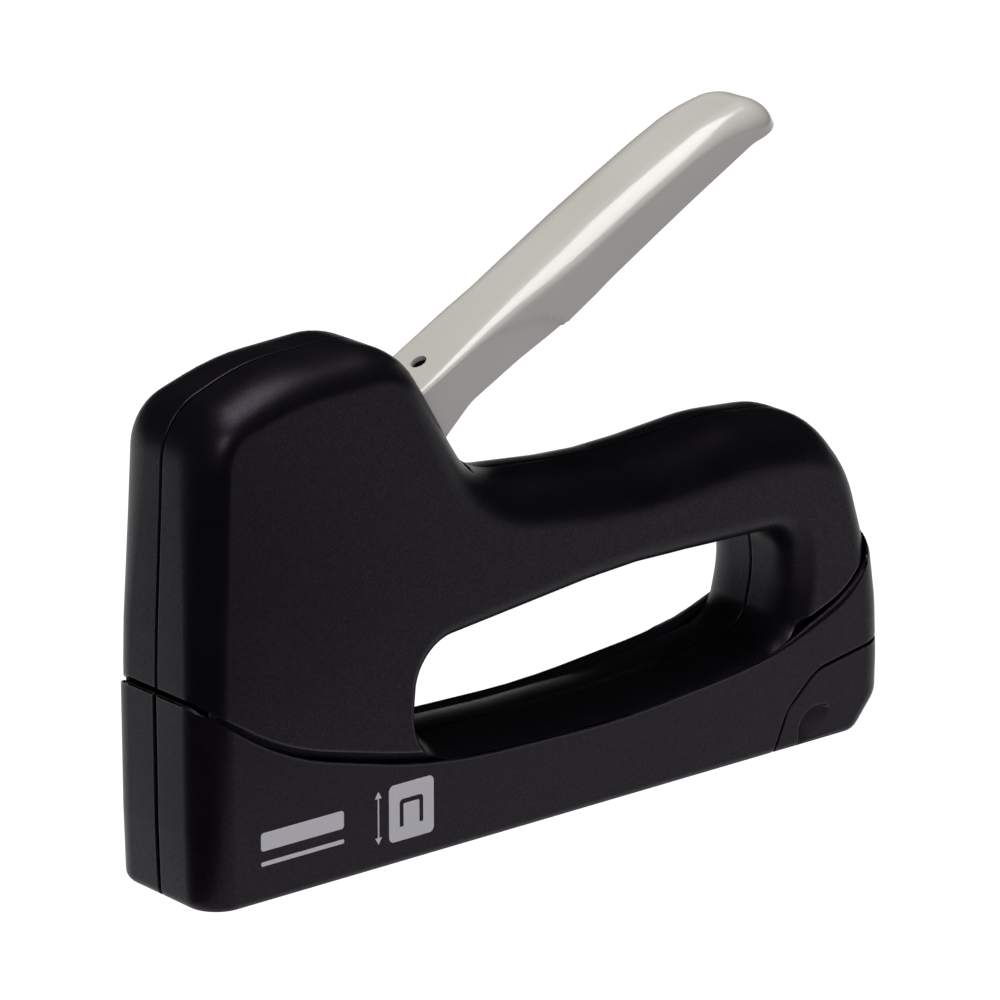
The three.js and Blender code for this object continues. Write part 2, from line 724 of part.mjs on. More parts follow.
const springStart = new THREE.Vector3(PLUNGER_X, 0, springFoot);
addNode("drive_spring", coil(springStart, up, springLength, SPRING_R, SPRING_WIRE_R, 10), finish.steel);
const capPlate = centredBox(
  PLUNGER_X - 4.2,
  PLUNGER_X + 5,
  SPRING_CAP_HALF_WIDTH,
  SPRING_CAP_BOTTOM,
  SPRING_CAP_BOTTOM + 1.6,
);
const spigot = solid(
  new THREE.CylinderGeometry(2.2, 1.8, 8, 16)
    .rotateX(Math.PI / 2)
    .translate(PLUNGER_X, 0, SPRING_CAP_BOTTOM - 3.5),
);
addNode("spring_cap", union(capPlate, spigot), finish.darkSteel);
const bufferTop = PLUNGER_BOTTOM - CLEARANCE;
const bufferPlan = planRectangle(PLUNGER_X - 5.2, PLUNGER_X + 5.2, BUFFER_HALF_WIDTH, 1.5, 1.5);
addNode("impact_buffer", upright(bufferPlan, bufferTop - BUFFER_HEIGHT, bufferTop), finish.rubber);
const guideFrame = cut(
  centredBox(GUIDE_FRONT, GUIDE_BACK, GUIDE_HALF_WIDTH, PLUNGER_BOTTOM, GUIDE_TOP),
  centredBox(-FAR, GUIDE_BACK - 1, GUIDE_HALF_WIDTH - SHEET, -FAR, FAR),
  centredBox(GUIDE_BACK - 2, GUIDE_BACK + 8, 3.4, 59, GUIDE_TOP - 1.4),
);
addNode("guide_frame", guideFrame, finish.steel);
const noseLip = BLADE_X - CLEARANCE;
addNode("nose_plate", centredBox(noseLip - SHEET, noseLip, 6.9, 0.6, 33), finish.steel);

// Magazine: fixed channel, and the rail, rod, follower and spring that pull out with the end cap
const channel = cut(
  centredBox(CHANNEL_FRONT, CHANNEL_BACK, CHANNEL_HALF_WIDTH, CHANNEL_FLOOR, CHANNEL_TOP),
  centredBox(-FAR, FAR, CHANNEL_HALF_WIDTH - SHEET, CHANNEL_FLOOR + SHEET, FAR),
);
addNode("magazine_channel", channel, finish.steel);
const rail = cut(
  centredBox(RAIL_FRONT, RAIL_BACK, RAIL_HALF_WIDTH, RAIL_BOTTOM, RAIL_TOP),
  centredBox(-FAR, FAR, RAIL_HALF_WIDTH - SHEET, -FAR, RAIL_TOP - SHEET),
  crossBar(RAIL_PIN_X, ROD_Z, ROD_R + 0.2, -FAR, FAR, 12),
);
addNode("magazine_rail", rail, finish.steel);
addNode("follower_rod", lengthBar(ROD_FRONT, ROD_BACK, ROD_R), finish.steel);
const followerBlock = centredBox(FOLLOWER_FRONT, FOLLOWER_BACK, FOLLOWER_HALF_WIDTH, 2.2, 11.9);
const railClear = cut(
  centredBox(-FAR, FAR, RAIL_HALF_WIDTH + CLEARANCE, RAIL_BOTTOM - CLEARANCE, RAIL_TOP + CLEARANCE),
  centredBox(-FAR, FAR, RAIL_HALF_WIDTH - SHEET - CLEARANCE, -FAR, RAIL_TOP - SHEET - CLEARANCE),
);
const rodClear = lengthBar(-FAR, FAR, ROD_R + CLEARANCE);
addNode("follower", cut(followerBlock, railClear, rodClear), finish.darkSteel);
const followerSpringStart = new THREE.Vector3(FOLLOWER_BACK + 0.8, 0, ROD_Z);
const followerSpringLength = 128.8;
addNode(
  "follower_spring",
  coil(
    followerSpringStart,
    new THREE.Vector3(1, 0, 0),
    followerSpringLength,
    FOLLOWER_SPRING_R,
    FOLLOWER_WIRE_R,
    18,
  ),
  finish.steel,
);

// Screws, driven from +Y
function screw([x, z], headR, headY, headThickness, endY) {
  const head = crossBar(x, z, headR, headY, headY + headThickness, 20);
  const shank = crossBar(x, z, SCREW_R, endY, headY + 0.2, 12);
  const armLong = 1.8;
  const armShort = 0.45;
  const depth = headY + headThickness * 0.45;
  const arm = (a, b) => box(x - a, x + a, depth, FAR, z - b, z + b);
  return cut(union(head, shank), arm(armLong, armShort), arm(armShort, armLong));
}
HOUSING_SCREWS.forEach((spot, i) => {
  addNode(`housing_screw_${i + 1}`, screw(spot, 3, 11.6, 1.7, -9.3), finish.darkSteel);
});
COVER_SCREWS.forEach((spot, i) => {
  addNode(`cover_screw_${i + 1}`, screw(spot, 2.6, 13.25, 1, -13.3), finish.darkSteel);
});

export default group;
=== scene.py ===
"""Detailed visual model of the staple gun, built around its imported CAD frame.

Outlines are written in millimetres, in the plane of the seam, and become metres when a mesh is made.
X runs from the nose to the tail, Y across the width and Z up from the base.
"""

import json
import math

import bmesh
import bpy
import numpy as np
from mathutils import Matrix, Vector
from mathutils.geometry import tessellate_polygon


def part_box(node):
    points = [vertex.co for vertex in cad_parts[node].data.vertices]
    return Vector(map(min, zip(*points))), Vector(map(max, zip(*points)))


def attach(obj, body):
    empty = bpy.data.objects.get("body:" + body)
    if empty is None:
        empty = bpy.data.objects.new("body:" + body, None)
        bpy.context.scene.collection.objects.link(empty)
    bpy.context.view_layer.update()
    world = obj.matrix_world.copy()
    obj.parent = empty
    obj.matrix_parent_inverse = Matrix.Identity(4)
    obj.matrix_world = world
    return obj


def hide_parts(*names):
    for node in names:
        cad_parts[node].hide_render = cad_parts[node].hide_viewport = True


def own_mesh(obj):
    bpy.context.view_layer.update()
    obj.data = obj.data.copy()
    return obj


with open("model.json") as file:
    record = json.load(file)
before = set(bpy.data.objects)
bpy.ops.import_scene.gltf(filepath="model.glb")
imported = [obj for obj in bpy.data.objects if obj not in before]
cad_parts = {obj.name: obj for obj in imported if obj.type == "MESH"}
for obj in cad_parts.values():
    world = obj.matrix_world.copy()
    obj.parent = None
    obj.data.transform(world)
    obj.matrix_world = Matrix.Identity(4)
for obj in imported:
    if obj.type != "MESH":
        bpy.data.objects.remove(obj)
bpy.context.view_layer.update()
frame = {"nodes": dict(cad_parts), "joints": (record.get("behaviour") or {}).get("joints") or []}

MM = 0.001
# Further out than any point of the tool
FAR = 200
# Faces within this many degrees of each other are merged before edges are rounded
FLAT_ANGLE = 0.3

# Widths and ends, read from the frame
BODY_HALF_WIDTH = -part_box("body_shell_left")[0].y / MM
COVER_HALF_WIDTH = -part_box("lower_cover_left")[0].y / MM
NOSE_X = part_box("lower_cover_left")[0].x / MM
TAIL_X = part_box("magazine_end_cap")[1].x / MM
# Half the gap between the shells
SEAM_GAP = -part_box("body_shell_left")[1].y / MM
# The print stands on the covers' side faces, which lie this far inside the CAD box
PRINT_THICKNESS = 0.05
COVER_FACE = COVER_HALF_WIDTH - PRINT_THICKNESS

# Body shells
WALL = 2.6
# How much of the outside's rounding the hollow has
HOLLOW_INSET = 0.6
CAVITY_HALF_WIDTH = 10.3
SKIRT_HALF_WIDTH = 12.1
SKIRT_INSET = 2.3
SKIRT_FOOT = 9
SKIRT_TOP = 50
SEAM_ROUND = 0.4
GROOVE = 0.45
RING_STEPS = 12
EDGE_SPACING = 2.0
# Distance over which the rounding of one corner passes into that of the next
EDGE_BLUR = 7.0

# Lower covers
COVER_WALL = 2
COVER_BAY_HALF_WIDTH = SKIRT_HALF_WIDTH + 0.3
# Half the gap between the covers
COVER_SEAM_GAP = 0.35
COVER_EDGE = 0.35
BOTTOM_ROUND = 1.6
# The block that the covers are cut from: its height, and the height of one layer
BAND_TOP = 50
BAND_STEP = 0.8
NOSE_CORNER = 6.6
TAIL_CORNER = 5.5
CAP_GAP = 0.35
# Room for the magazine channel, [x from, x to, half width, z from, z to]
CHANNEL_BAY = (NOSE_X + COVER_WALL + 0.35, 60, 7.3, -FAR, 12)
CAP_MOUTH = (50, 64, 7.3, -FAR, 13)
# The rounded lip along the covers' top edge: its width at the front and at the back, and the x
# between which it grows
LIP_FRONT = 0.35
LIP_BACK = 1.5
LIP_GROWS = (45, 70)
# How far below the groove's line the covers' top edge lies, at each x
EDGE_DROP_X = [-80, -76, -72, -58, -40, -8, 15, 33, 52, 62, 70]
EDGE_DROP = [0, 0.1, 0.4, 0.7, 0.9, 0.7, 0.4, 0.7, 1, 0.5, 0]
# The cutter of that edge: how far inside the covers' plan its rings lie, and the spacing of points
LID_SPACING = 1.5
LONG_SIDE = 50
LID_STEPS = (-1, -0.02, 0.05, 0.12, 0.25, 0.4, 0.6, 0.85, 1.15, 1.5, 2.2, 3, 4)

# Lever
LEVER_REST = math.radians(28)
LEVER_SHEET = 1.1
LEVER_CROWN = 6.7
LEVER_SHOULDER = math.radians(40)
LEVER_TIP_U = 106
LEVER_TIP_CORNER = 7
LEVER_TIP_DROP = 3
LEVER_DROP_LENGTH = 16
LEVER_FLANGE_Y = 7.5
LEVER_HOLE_U = 19.9
LEVER_HOLE_R = 1.5
LEVER_HOLE_V = (3, 12)
LEVER_BORE_R = 2.7
LEVER_BACK_U = -8
LEVER_FOOT_V = -10
SLOT_HALF_WIDTH = 8.7
FLANGE_ROWS = 24
SHOULDER_ROWS = 8
CROWN_ROWS = 10
# Line above which the lever's side bulges out over its recessed flange
FLANGE_CREASE_U = [0, 26, 32, 37, 43, 46, 50]
FLANGE_CREASE_V = [6.6, 6.5, 5.6, 3.6, 0.6, -3.1, -9]
FLANGE_BLEND = 1

# Outlines: [x, z, corner radius], anticlockwise. Those of the body and of its opening also say how
# their edge is rounded there, [.., inset, depth].
BODY_OUTLINE = [
    [-80.4, -6, 0, 5.5, 6],
    [79.6, -6, 0, 5.5, 6.5],
    [79.6, 20, 40, 5.5, 6.5],
    [77.8, 37.5, 40, 5.5, 6.5],
    [74.5, 52, 25, 6.1, 10.8],
    [66.2, 62.9, 16, 9.7, 11.1],
    [47, 64.8, 40, 10, 12.8],
    [19.8, 62.4, 120, 10, 12.8],
    [-13.6, 65.2, 20, 9, 12],
    [-34.2, 95.4, 15, 5.7, 8.7],
    [-60, 94.6, 40, 6.1, 10.4],
    [-77.9, 87.9, 12, 5, 9.2],
    [-80.3, 45, 150, 5.5, 6],
]
OPENING_OUTLINE = [
    [-31.5, 17.8, 9, 3, 12],
    [2, 17.3, 150, 4, 13.5],
    [30, 17.7, 150, 4, 13.5],
    [56.4, 21.2, 6.5, 4.5, 9.5],
    [58.8, 32, 25, 5, 9],
    [57.6, 42.4, 8, 4.5, 6],
    [20, 44.4, 150, 4, 3],
    [-31.2, 39, 8.5, 3, 2.5],
]
# Everything below the line where the covers meet the body
BELOW_GROOVE = [
    [-95, -20, 0],
    [95, -20, 0],
    [95, 52, 0],
    [76.9, 52, 0],
    [76.7, 39, 4],
    [75, 33.4, 10],
    [70, 28, 40],
    [50, 20.4, 100],
    [14, 16.5, 120],
    [-28, 18, 120],
    [-62, 26.6, 60],
    [-79.6, 37.8, 20],
    [-95, 52.1, 0],
]
BAND_OUTLINE = [
    [-80.4, 0, 2],
    [75.2, 0, 2],
    [80.6, 6.4, 4],
    [TAIL_X, 14, 30],
    [80.2, 25, 30],
    [78.7, 34.8, 6],
    [75.6, 42, 0],
    [70, 80, 0],
    [NOSE_X, 80, 0],
    [NOSE_X, 14, 30],
]
CAP_LINE = [
    [52.6, -6, 0],
    [90, -6, 0],
    [90, 19.2, 0],
    [62.8, 14.4, 8],
    [55.6, 8, 10],
    [52.6, 1, 2],
]
CAP_DENT = {"x": 63, "z": 2.6, "r": 4.8, "depth": 1}
# The hub inside the end cap holds the rail's rivet and the follower's rod
HUB_OUTLINE = [(69, 1), (75, 1), (79, 6.4), (79, 9.4), (69, 9.4)]
HUB_HALF_WIDTH = 3.5
HUB_HOLE_R = 1.4
RIVET_X = 74
ROD_Z = 6.4
ROD_HOLE = (68.5, 71.5)
# The slot in the shells that the lever comes out of
SLOT_OUTLINE = [
    [-46, 60, 0],
    [-20, 63, 6],
    [-12.6, 70.2, 3],
    [-10, 80, 0],
    [-8, 95.6, 0],
    [-46, 75.4, 0],
]
# The lever's side outline in its own frame: u along the crown from the pivot, v square to it
LEVER_OUTLINE = [
    [-6.5, -5.6, 5],
    [6, -8.2, 5],
    [14.5, -4.3, 8],
    [22, -2.3, 10],
    [34, -2.3, 30],
    [45, -2.9, 30],
    [58, -1.7, 40],
    [80, -0.8, 60],
    [97, -0.3, 10],
    [107, -2.4, 0],
    [112, 20, 0],
    [2, 20, 0],
    [2, LEVER_CROWN, 0],
    [-6.5, 2.6, 4],
]
# Its sections: [u, half width of the crown's flat, radius from there to the shoulder, height of the
# crown, radius of the shoulder]
LEVER_SECTIONS = [
    [-30, 5.8, 2, LEVER_CROWN, 2],
    [-8, 5.8, 2, LEVER_CROWN, 2],
    [20, 5.8, 2, LEVER_CROWN, 2],
    [33, 4.8, 3.5, 7.3, 2],
    [40, 4, 4.8, 7.5, 2],
    [47, 3.4, 6.6, 7.8, 2],
    [54, 3, 7.8, 8, 2],
    [61, 2.8, 8.1, 8.3, 2],
    [72, 3.1, 7.6, 8.25, 2],
    [83, 3.5, 7.1, 8, 2],
    [90, 3.7, 6.4, 7.7, 3],
    [94.5, 3.7, 5.9, 7.4, 4],
    [LEVER_TIP_U - LEVER_TIP_CORNER, 3.6, 5.4, 7.1, 5.2],
]
# A dark plate inside its crown, painted shade that shows black through the hole: u from, u to, v from, v to,
# corner radius
HOLE_SHADE_PLATE = (12, 28, 3.6, 4.8, 0.3)
HOLE_SHADE_PLATE_HALF_WIDTH = 4

# Screws, each [x, z]
HOUSING_SCREWS = [
    [-50, 86],
    [-46, 36],
    [4, 53.5],
    [68, 43],
]
COVER_SCREWS = [
    [-50, 17],
    [66, 21.5],
]
# Radius of the head, y of its underside, its thickness, and y of the screw's tip
HOUSING_SCREW = (3, 11.6, 1.7, -9.3)
COVER_SCREW = (2.6, 13.25, 1, -13.3)
# The well that a head lies in: its radius, and y of its bottom
HOUSING_WELL = (3.3, 11.3)
COVER_WELL = (2.9, 13.1)
SCREW_R = 1.4
SCREW_HOLE_R = SCREW_R + 0.2
THREAD_ROOT_R = 1.08
THREAD_PITCH = 1.1
# How far from the seam the thread and the holes start or end
THREAD_END = 2
BLIND_HOLE_END = 9.6
COVER_HOLE_START = 10
COVER_HOLE_END = 13.6

# Bosses inside the shells
SCREW_BOSS_R = 3
PIVOT_BOSS_R = 5
PIVOT_BOSS_START = SLOT_HALF_WIDTH - 0.2
BOSS_END = CAVITY_HALF_WIDTH + 0.5
PIVOT_BORE_R = 2.65
PIVOT_BORE_END = 11.1

# Springs: radius of the coil and of the wire
DRIVE_SPRING_R = 3.3
DRIVE_WIRE_R = 0.65
FOLLOWER_SPRING_R = 2.2
FOLLOWER_WIRE_R = 0.3
RETURN_SPRING_R = 3.6
RETURN_WIRE_R = 0.45
COIL_STEPS = 28
WIRE_SIDES = 12

# Print on the near side: lowest and highest x and z
PICTOGRAM = (-40.2, -30, 4.6, 15.4)
WIDE_BAR = (-68.8, -50.4, 10, 13.4)
THIN_BAR = (-68.8, -50.4, 7.2, 8)

# Camera
CAMERA_AZIMUTH = math.radians(-39.6)
CAMERA_ELEVATION = math.radians(17.6)
CAMERA_TARGET = Vector((-2.74, 0, 57.69)) * MM
CAMERA_DISTANCE = 1.0846
CAMERA_LENS = 216

# Floor, in millimetres, and the room round it, in metres
FLOOR_R = 3000
FLOOR_BOTTOM = -6
ROOM_R = 6
# Plan of a black sheet on the floor in front of the tool, which keeps its near side dark
FLAG_PLAN = [
    (60, -130),
    (-84, -60),
    (-84, -6),
    (-1344, 1434),
    (-1600, 1434),
    (-1600, -1600),
    (200, -1600),
]

hinge = next(j for j in frame["joints"] if j["name"] == "lever_hinge")
PIVOT = Vector(hinge["pos_m"]) / MM


# ---------------- outlines

def rounded(outline, step=5):
    """The corner points of an outline, each corner as an arc. What follows the radius is kept."""
    rows = []
    for i, (x, z, radius, *rest) in enumerate(outline):
        corner = Vector((x, z))
        before = Vector(outline[i - 1][:2]) - corner
        after = Vector(outline[(i + 1) % len(outline)][:2]) - corner
        room = 0.49 * min(before.length, after.length)
        before.normalize()
        after.normalize()
        half_angle = before.angle(after) / 2
        tangent = min(room, radius / math.tan(half_angle))
        radius = tangent * math.tan(half_angle)
        if radius < 0.2:
            rows.append([x, z, *rest])
            continue
        turn = math.pi - 2 * half_angle
        centre = corner + (before + after).normalized() * (radius / math.sin(half_angle))
        start = corner + before * tangent - centre
        way = math.copysign(1, start.cross(corner - centre))
        count = max(1, math.ceil(math.degrees(turn) / step))
        for k in range(count + 1):
            spot = centre + Matrix.Rotation(way * turn * k / count, 2) @ start
            rows.append([spot.x, spot.y, *rest])
    return np.array(rows)


def offset(outline, d):
    """An outline moved outwards by d (inwards when negative), its corners kept round."""
    corners = [Vector(row[:2]) for row in outline]
    along = [(corners[(i + 1) % len(corners)] - c).normalized() for i, c in enumerate(corners)]
    moved = []
    for i, (x, z, radius, *rest) in enumerate(outline):
        a, b = along[i - 1], along[i]
        out_a, out_b = Vector((a.y, -a.x)), Vector((b.y, -b.x))
        k = d / (1 + out_a.dot(out_b))
        grown = radius + (d if a.cross(b) > 0 else -d)
        spot = Vector((x, z)) + k * (out_a + out_b)
        moved.append([spot.x, spot.y, max(0.4, grown) if radius else 0, *rest])
    return moved


def panel(x0, x1, z0, z1, radius):
    """A rectangle with rounded corners."""
    return rounded([[x0, z0, radius], [x1, z0, radius], [x1, z1, radius], [x0, z1, radius]])


def quarter_turn(steps):
    """Angles from 0 to 90 degrees."""
    return [k / steps * math.pi / 2 for k in range(steps + 1)]


def circle(x, z, r, count=48):
    angles = [2 * math.pi * k / count for k in range(count)]
    return np.array([[x + r * math.cos(a), z + r * math.sin(a)] for a in angles])


# ---------------- meshes

def new_object(name, data):
    """An object of a mesh, camera or light, in the scene."""
    made = bpy.data.objects.new(name, data)
    bpy.context.scene.collection.objects.link(made)
    return made


def make_object(name, vertices, faces):
    """A mesh object from points in millimetres, its faces turned outwards."""
    mesh = bpy.data.meshes.new(name)
    mesh.from_pydata([Vector(v) * MM for v in vertices], [], faces)
    bm = bmesh.new()
    bm.from_mesh(mesh)
    bmesh.ops.recalc_face_normals(bm, faces=bm.faces)
    bm.to_mesh(mesh)
    bm.free()
    return new_object(name, mesh)


def tube_faces(rings, count, ends=True):
    """The faces between rings of count points each, and a flat face over each end."""
    last = (rings - 1) * count
    faces = [
        (r + i, r + (i + 1) % count, r + count + (i + 1) % count, r + count + i)
        for r in range(0, last, count)
        for i in range(count)
    ]
    if ends:
        faces += [tuple(range(count)), tuple(range(last, last + count))]
    return faces


def prism(points, low, high, place=lambda x, z, t: (x, t, z)):
    """A flat outline carried from low to high, across the width unless place says otherwise."""
    vertices = [place(p[0], p[1], t) for t in (low, high) for p in points]
    return make_object("prism", vertices, tube_faces(2, len(points)))


def upright(points, low, high):
    """A plan carried up from low to high."""
    return prism(points, low, high, lambda x, y, t: (x, y, t))


def cross_bar(x, z, r, low, high):
    """A round bar along Y from low to high."""
    return prism(circle(x, z, r), low, high)


def side_bar(side, x, z, r, start, end):
    """A round bar in one half of the tool, between two distances from the seam."""
    return cross_bar(x, z, r, *sorted((side * start, side * end)))


def box(x0, x1, y0, y1, z0, z1):
    return prism([(x0, z0), (x1, z0), (x1, z1), (x0, z1)], y0, y1)


def centred_box(x0, x1, half_width, z0, z1):
    return box(x0, x1, -half_width, half_width, z0, z1)


def layer(low, high):
    """Everything between two heights."""
    return box(-FAR, FAR, -FAR, FAR, low, high)


def apply_modifiers(thing):
    graph = bpy.context.evaluated_depsgraph_get()
    thing.data = bpy.data.meshes.new_from_object(thing.evaluated_get(graph))
    thing.modifiers.clear()


def combine(operation, thing, *tools):
    """Joins to, cuts from or keeps in common with thing each of the tools, which are used up."""
    for tool in tools:
        modifier = thing.modifiers.new("boolean", "BOOLEAN")
        modifier.operation = operation
        modifier.solver = "MANIFOLD"
        modifier.object = tool
        apply_modifiers(thing)
        bpy.data.objects.remove(tool)
    return thing


def join(thing, *tools):
    return combine("UNION", thing, *tools)


def cut(thing, *tools):
    return combine("DIFFERENCE", thing, *tools)


def common(thing, *tools):
    return combine("INTERSECT", thing, *tools)


def soften(thing, width, segments=2, sharpest=35):
    """Rounds the sharp edges by width, in millimetres, and shades the rest smoothly."""
    bm = bmesh.new()
    bm.from_mesh(thing.data)
    bmesh.ops.remove_doubles(bm, verts=bm.verts, dist=0.002 * MM)
    if width:
        flat = math.radians(FLAT_ANGLE)
        bmesh.ops.dissolve_limit(bm, angle_limit=flat, verts=bm.verts, edges=bm.edges)
    bm.to_mesh(thing.data)
    bm.free()
    if width:
        spots = np.array([v.co for v in thing.data.vertices])
        lowest, highest = spots.min(axis=0), spots.max(axis=0)
        modifier = thing.modifiers.new("bevel", "BEVEL")
        modifier.width = width * MM
        modifier.segments = segments
        modifier.limit_method = "ANGLE"
        modifier.angle_limit = math.radians(sharpest)
        modifier.use_clamp_overlap = False
        apply_modifiers(thing)
        for vertex in thing.data.vertices:
            vertex.co = np.clip(vertex.co, lowest, highest)
    shade(thing, sharpest)


def shade(thing, sharpest=35):
    """Smooth shading with creases above an angle, the normals following the larger faces."""
    bm = bmesh.new()
    bm.from_mesh(thing.data)
    for face in bm.faces:
        face.smooth = True
    for edge in bm.edges:
        edge.smooth = len(edge.link_faces) == 2 and edge.calc_face_angle() < math.radians(sharpest)
    bm.to_mesh(thing.data)
    bm.free()
    modifier = thing.modifiers.new("normals", "WEIGHTED_NORMAL")
    modifier.keep_sharp = True
    modifier.weight = 80


def piece(thing, name, body, material, slot, *nodes):
    """Names a finished piece, rides it on its body and puts it in place of its CAD nodes."""
    thing.name = name
    thing.data.name = name
    thing.data.materials.clear()
    thing.data.materials.append(material)
    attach(thing, body)
    if nodes:
        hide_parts(*nodes)
    return thing


# ---------------- materials

class Nodes:
    """Short forms for the nodes of one material."""

    def __init__(self, name):
        self.material = bpy.data.materials.new(name)
        self.material.use_nodes = True
        self.tree = self.material.node_tree
        self.shader = self.tree.nodes["Principled BSDF"]
        self.place = self.add("ShaderNodeTexCoord").outputs["Object"]

    def add(self, kind, **settings):
        node = self.tree.nodes.new(kind)
        for key, value in settings.items():
            setattr(node, key, value)
        return node

    def link(self, source, target):
        self.tree.links.new(source, target)

    def feed(self, socket, source):
        self.link(source, self.shader.inputs[socket])

    def noise(self, size, detail=2, roughness=0.5, stretch=(1, 1, 1)):
        """Noise whose features are about size millimetres across."""
        mapping = self.add("ShaderNodeMapping")
        mapping.inputs["Scale"].default_value = stretch
        self.link(self.place, mapping.inputs["Vector"])
        node = self.add("ShaderNodeTexNoise")
        node.inputs["Scale"].default_value = 1 / (size * MM)
        node.inputs["Detail"].default_value = detail
        node.inputs["Roughness"].default_value = roughness
        self.link(mapping.outputs["Vector"], node.inputs["Vector"])
        return node.outputs["Fac"]

    def ranged(self, source, from_low, from_high, to_low, to_high):
        node = self.add("ShaderNodeMapRange")
        for socket, value in zip(
            ("From Min", "From Max", "To Min", "To Max"), (from_low, from_high, to_low, to_high)
        ):
            node.inputs[socket].default_value = value
        self.link(source, node.inputs["Value"])
        return node.outputs["Result"]

    def spread(self, noise, low, high):
        """Noise, most of which lies between 0.3 and 0.7, stretched to go from low to high."""
        return self.ranged(noise, 0.3, 0.7, low, high)

    def product(self, a, b):
        node = self.add("ShaderNodeMath", operation="MULTIPLY")
        self.link(a, node.inputs[0])
        self.link(b, node.inputs[1])
        return node.outputs["Value"]

    def mix(self, factor, first, second):
        """Mixes two colours, either of which may be a socket."""
        node = self.add("ShaderNodeMix", data_type="RGBA")
        self.link(factor, node.inputs["Factor"])
        for socket, colour in ((node.inputs[6], first), (node.inputs[7], second)):
            if isinstance(colour, bpy.types.NodeSocket):
                self.link(colour, socket)
            else:
                socket.default_value = (*colour, 1)
        return node.outputs[2]

    def edges(self, radius):
        """1 on edges sharper than radius millimetres, 0 elsewhere."""
        bevel = self.add("ShaderNodeBevel", samples=6)
        bevel.inputs["Radius"].default_value = radius * MM
        normal = self.add("ShaderNodeNewGeometry").outputs["Normal"]
        dot = self.add("ShaderNodeVectorMath", operation="DOT_PRODUCT")
        self.link(bevel.outputs["Normal"], dot.inputs[0])
        self.link(normal, dot.inputs[1])
        return self.ranged(dot.outputs["Value"], 0.98, 0.8, 0, 1)

    def crevice_shade_factor(self, reach):
        """Ambient occlusion used as painted shade: 0 deep in a gap narrower than reach millimetres, 1 in the
        open.
        """
        node = self.add("ShaderNodeAmbientOcclusion", samples=6)
        node.inputs["Distance"].default_value = reach * MM
        return self.ranged(node.outputs["AO"], 0.3, 0.7, 0, 1)

    def bump(self, *heights):
        """Bumps of (socket, height in millimetres) on top of each other."""
        last = None
        for socket, height in heights:
            node = self.add("ShaderNodeBump")
            node.inputs["Strength"].default_value = 1
            node.inputs["Distance"].default_value = height * MM
            self.link(socket, node.inputs["Height"])
            if last:
                self.link(last, node.inputs["Normal"])
            last = node.outputs["Normal"]
        self.feed("Normal", last)

    def set(self, **values):
        for key, value in values.items():
            self.shader.inputs[key.replace("_", " ")].default_value = value


def moulded_plastic(name, dark, light, worn, roughness, sheen):
    """Spark-textured black moulding: fine grain, slightly uneven gloss, edges rubbed lighter and smoother,
    and painted shade that darkens colour and reflection in gaps and grooves.
    """
    n = Nodes(name)
    n.set(IOR=1.5, Specular_Tint=(0.93, 0.8, 1, 1))
    grain = n.noise(0.3, detail=3, roughness=0.7)
    shine = n.ranged(grain, 0.35, 0.65, 0.62 * sheen, 1.38 * sheen)
    # Painted shade: ambient occlusion darkens the reflection and turns the colour black in gaps and grooves.
    painted_shade_factor = n.crevice_shade_factor(2.5)
    polish = n.edges(1)
    shine = n.product(n.product(shine, painted_shade_factor), n.ranged(polish, 0, 1, 1, 3.5))
    n.feed("Specular IOR Level", shine)
    patches = n.noise(14, detail=3)
    rubbed = n.product(n.edges(0.5), n.ranged(n.noise(3, detail=3), 0.4, 0.65, 0.15, 1))
    colour = n.mix(n.spread(patches, 0, 1), dark, light)
    n.feed("Base Color", n.mix(painted_shade_factor, (0, 0, 0), n.mix(rubbed, colour, worn)))
    gloss = n.spread(patches, roughness - 0.03, roughness + 0.03)
    n.feed("Roughness", n.product(gloss, n.ranged(polish, 0, 1, 1, 0.6)))
    n.bump((grain, 0.012), (n.noise(1.6, detail=1), 0.01))
    return n.material


def lever_paint():
    """Glossy stoved paint on pressed steel, with a faint orange peel and darker rubbed edges."""
    n = Nodes("lever_paint")
    n.set(Specular_IOR_Level=0.5, IOR=1.5, Coat_Weight=0.35, Coat_Roughness=0.12)
    peel = n.noise(2.2, detail=1)
    patches = n.noise(24, detail=2)
    rubbed = n.product(n.edges(0.35), n.ranged(n.noise(2.5, detail=3), 0.5, 0.7, 0, 1))
    colour = n.mix(n.spread(patches, 0, 1), (0.62, 0.595, 0.55), (0.66, 0.635, 0.59))
    n.feed("Base Color", n.mix(rubbed, colour, (0.3, 0.29, 0.28)))
    n.feed("Roughness", n.spread(patches, 0.2, 0.26))
    n.bump((peel, 0.006))
    return n.material


def bare_steel(name, dark, light, roughness, metallic=1.0, along=(0.08, 1, 1)):
    """Drawn or ground steel with fine lines along one direction and a slightly uneven sheen."""
    n = Nodes(name)
    n.set(Metallic=metallic)
    lines = n.noise(0.35, detail=3, stretch=along)
    patches = n.noise(6, detail=3)
    colour = n.mix(n.spread(patches, 0, 1), dark, light)
    rubbed = n.mix(n.edges(0.3), colour, [min(1, 1.35 * c) for c in light])
    n.feed("Base Color", rubbed)
    n.feed("Roughness", n.spread(lines, roughness - 0.06, roughness + 0.08))
    n.bump((lines, 0.004))
    return n.material


def rubber():
    """Dull rubber with a little dust on it."""
    n = Nodes("buffer_rubber")
    n.set(Specular_IOR_Level=0.3)
    dust = n.noise(2.5, detail=4)
    n.feed("Base Color", n.mix(n.ranged(dust, 0.4, 0.7, 0, 1), (0.012, 0.012, 0.012), (0.035, 0.034, 0.032)))
    n.feed("Roughness", n.spread(dust, 0.7, 0.85))
    n.bump((n.noise(0.5), 0.02))
    return n.material


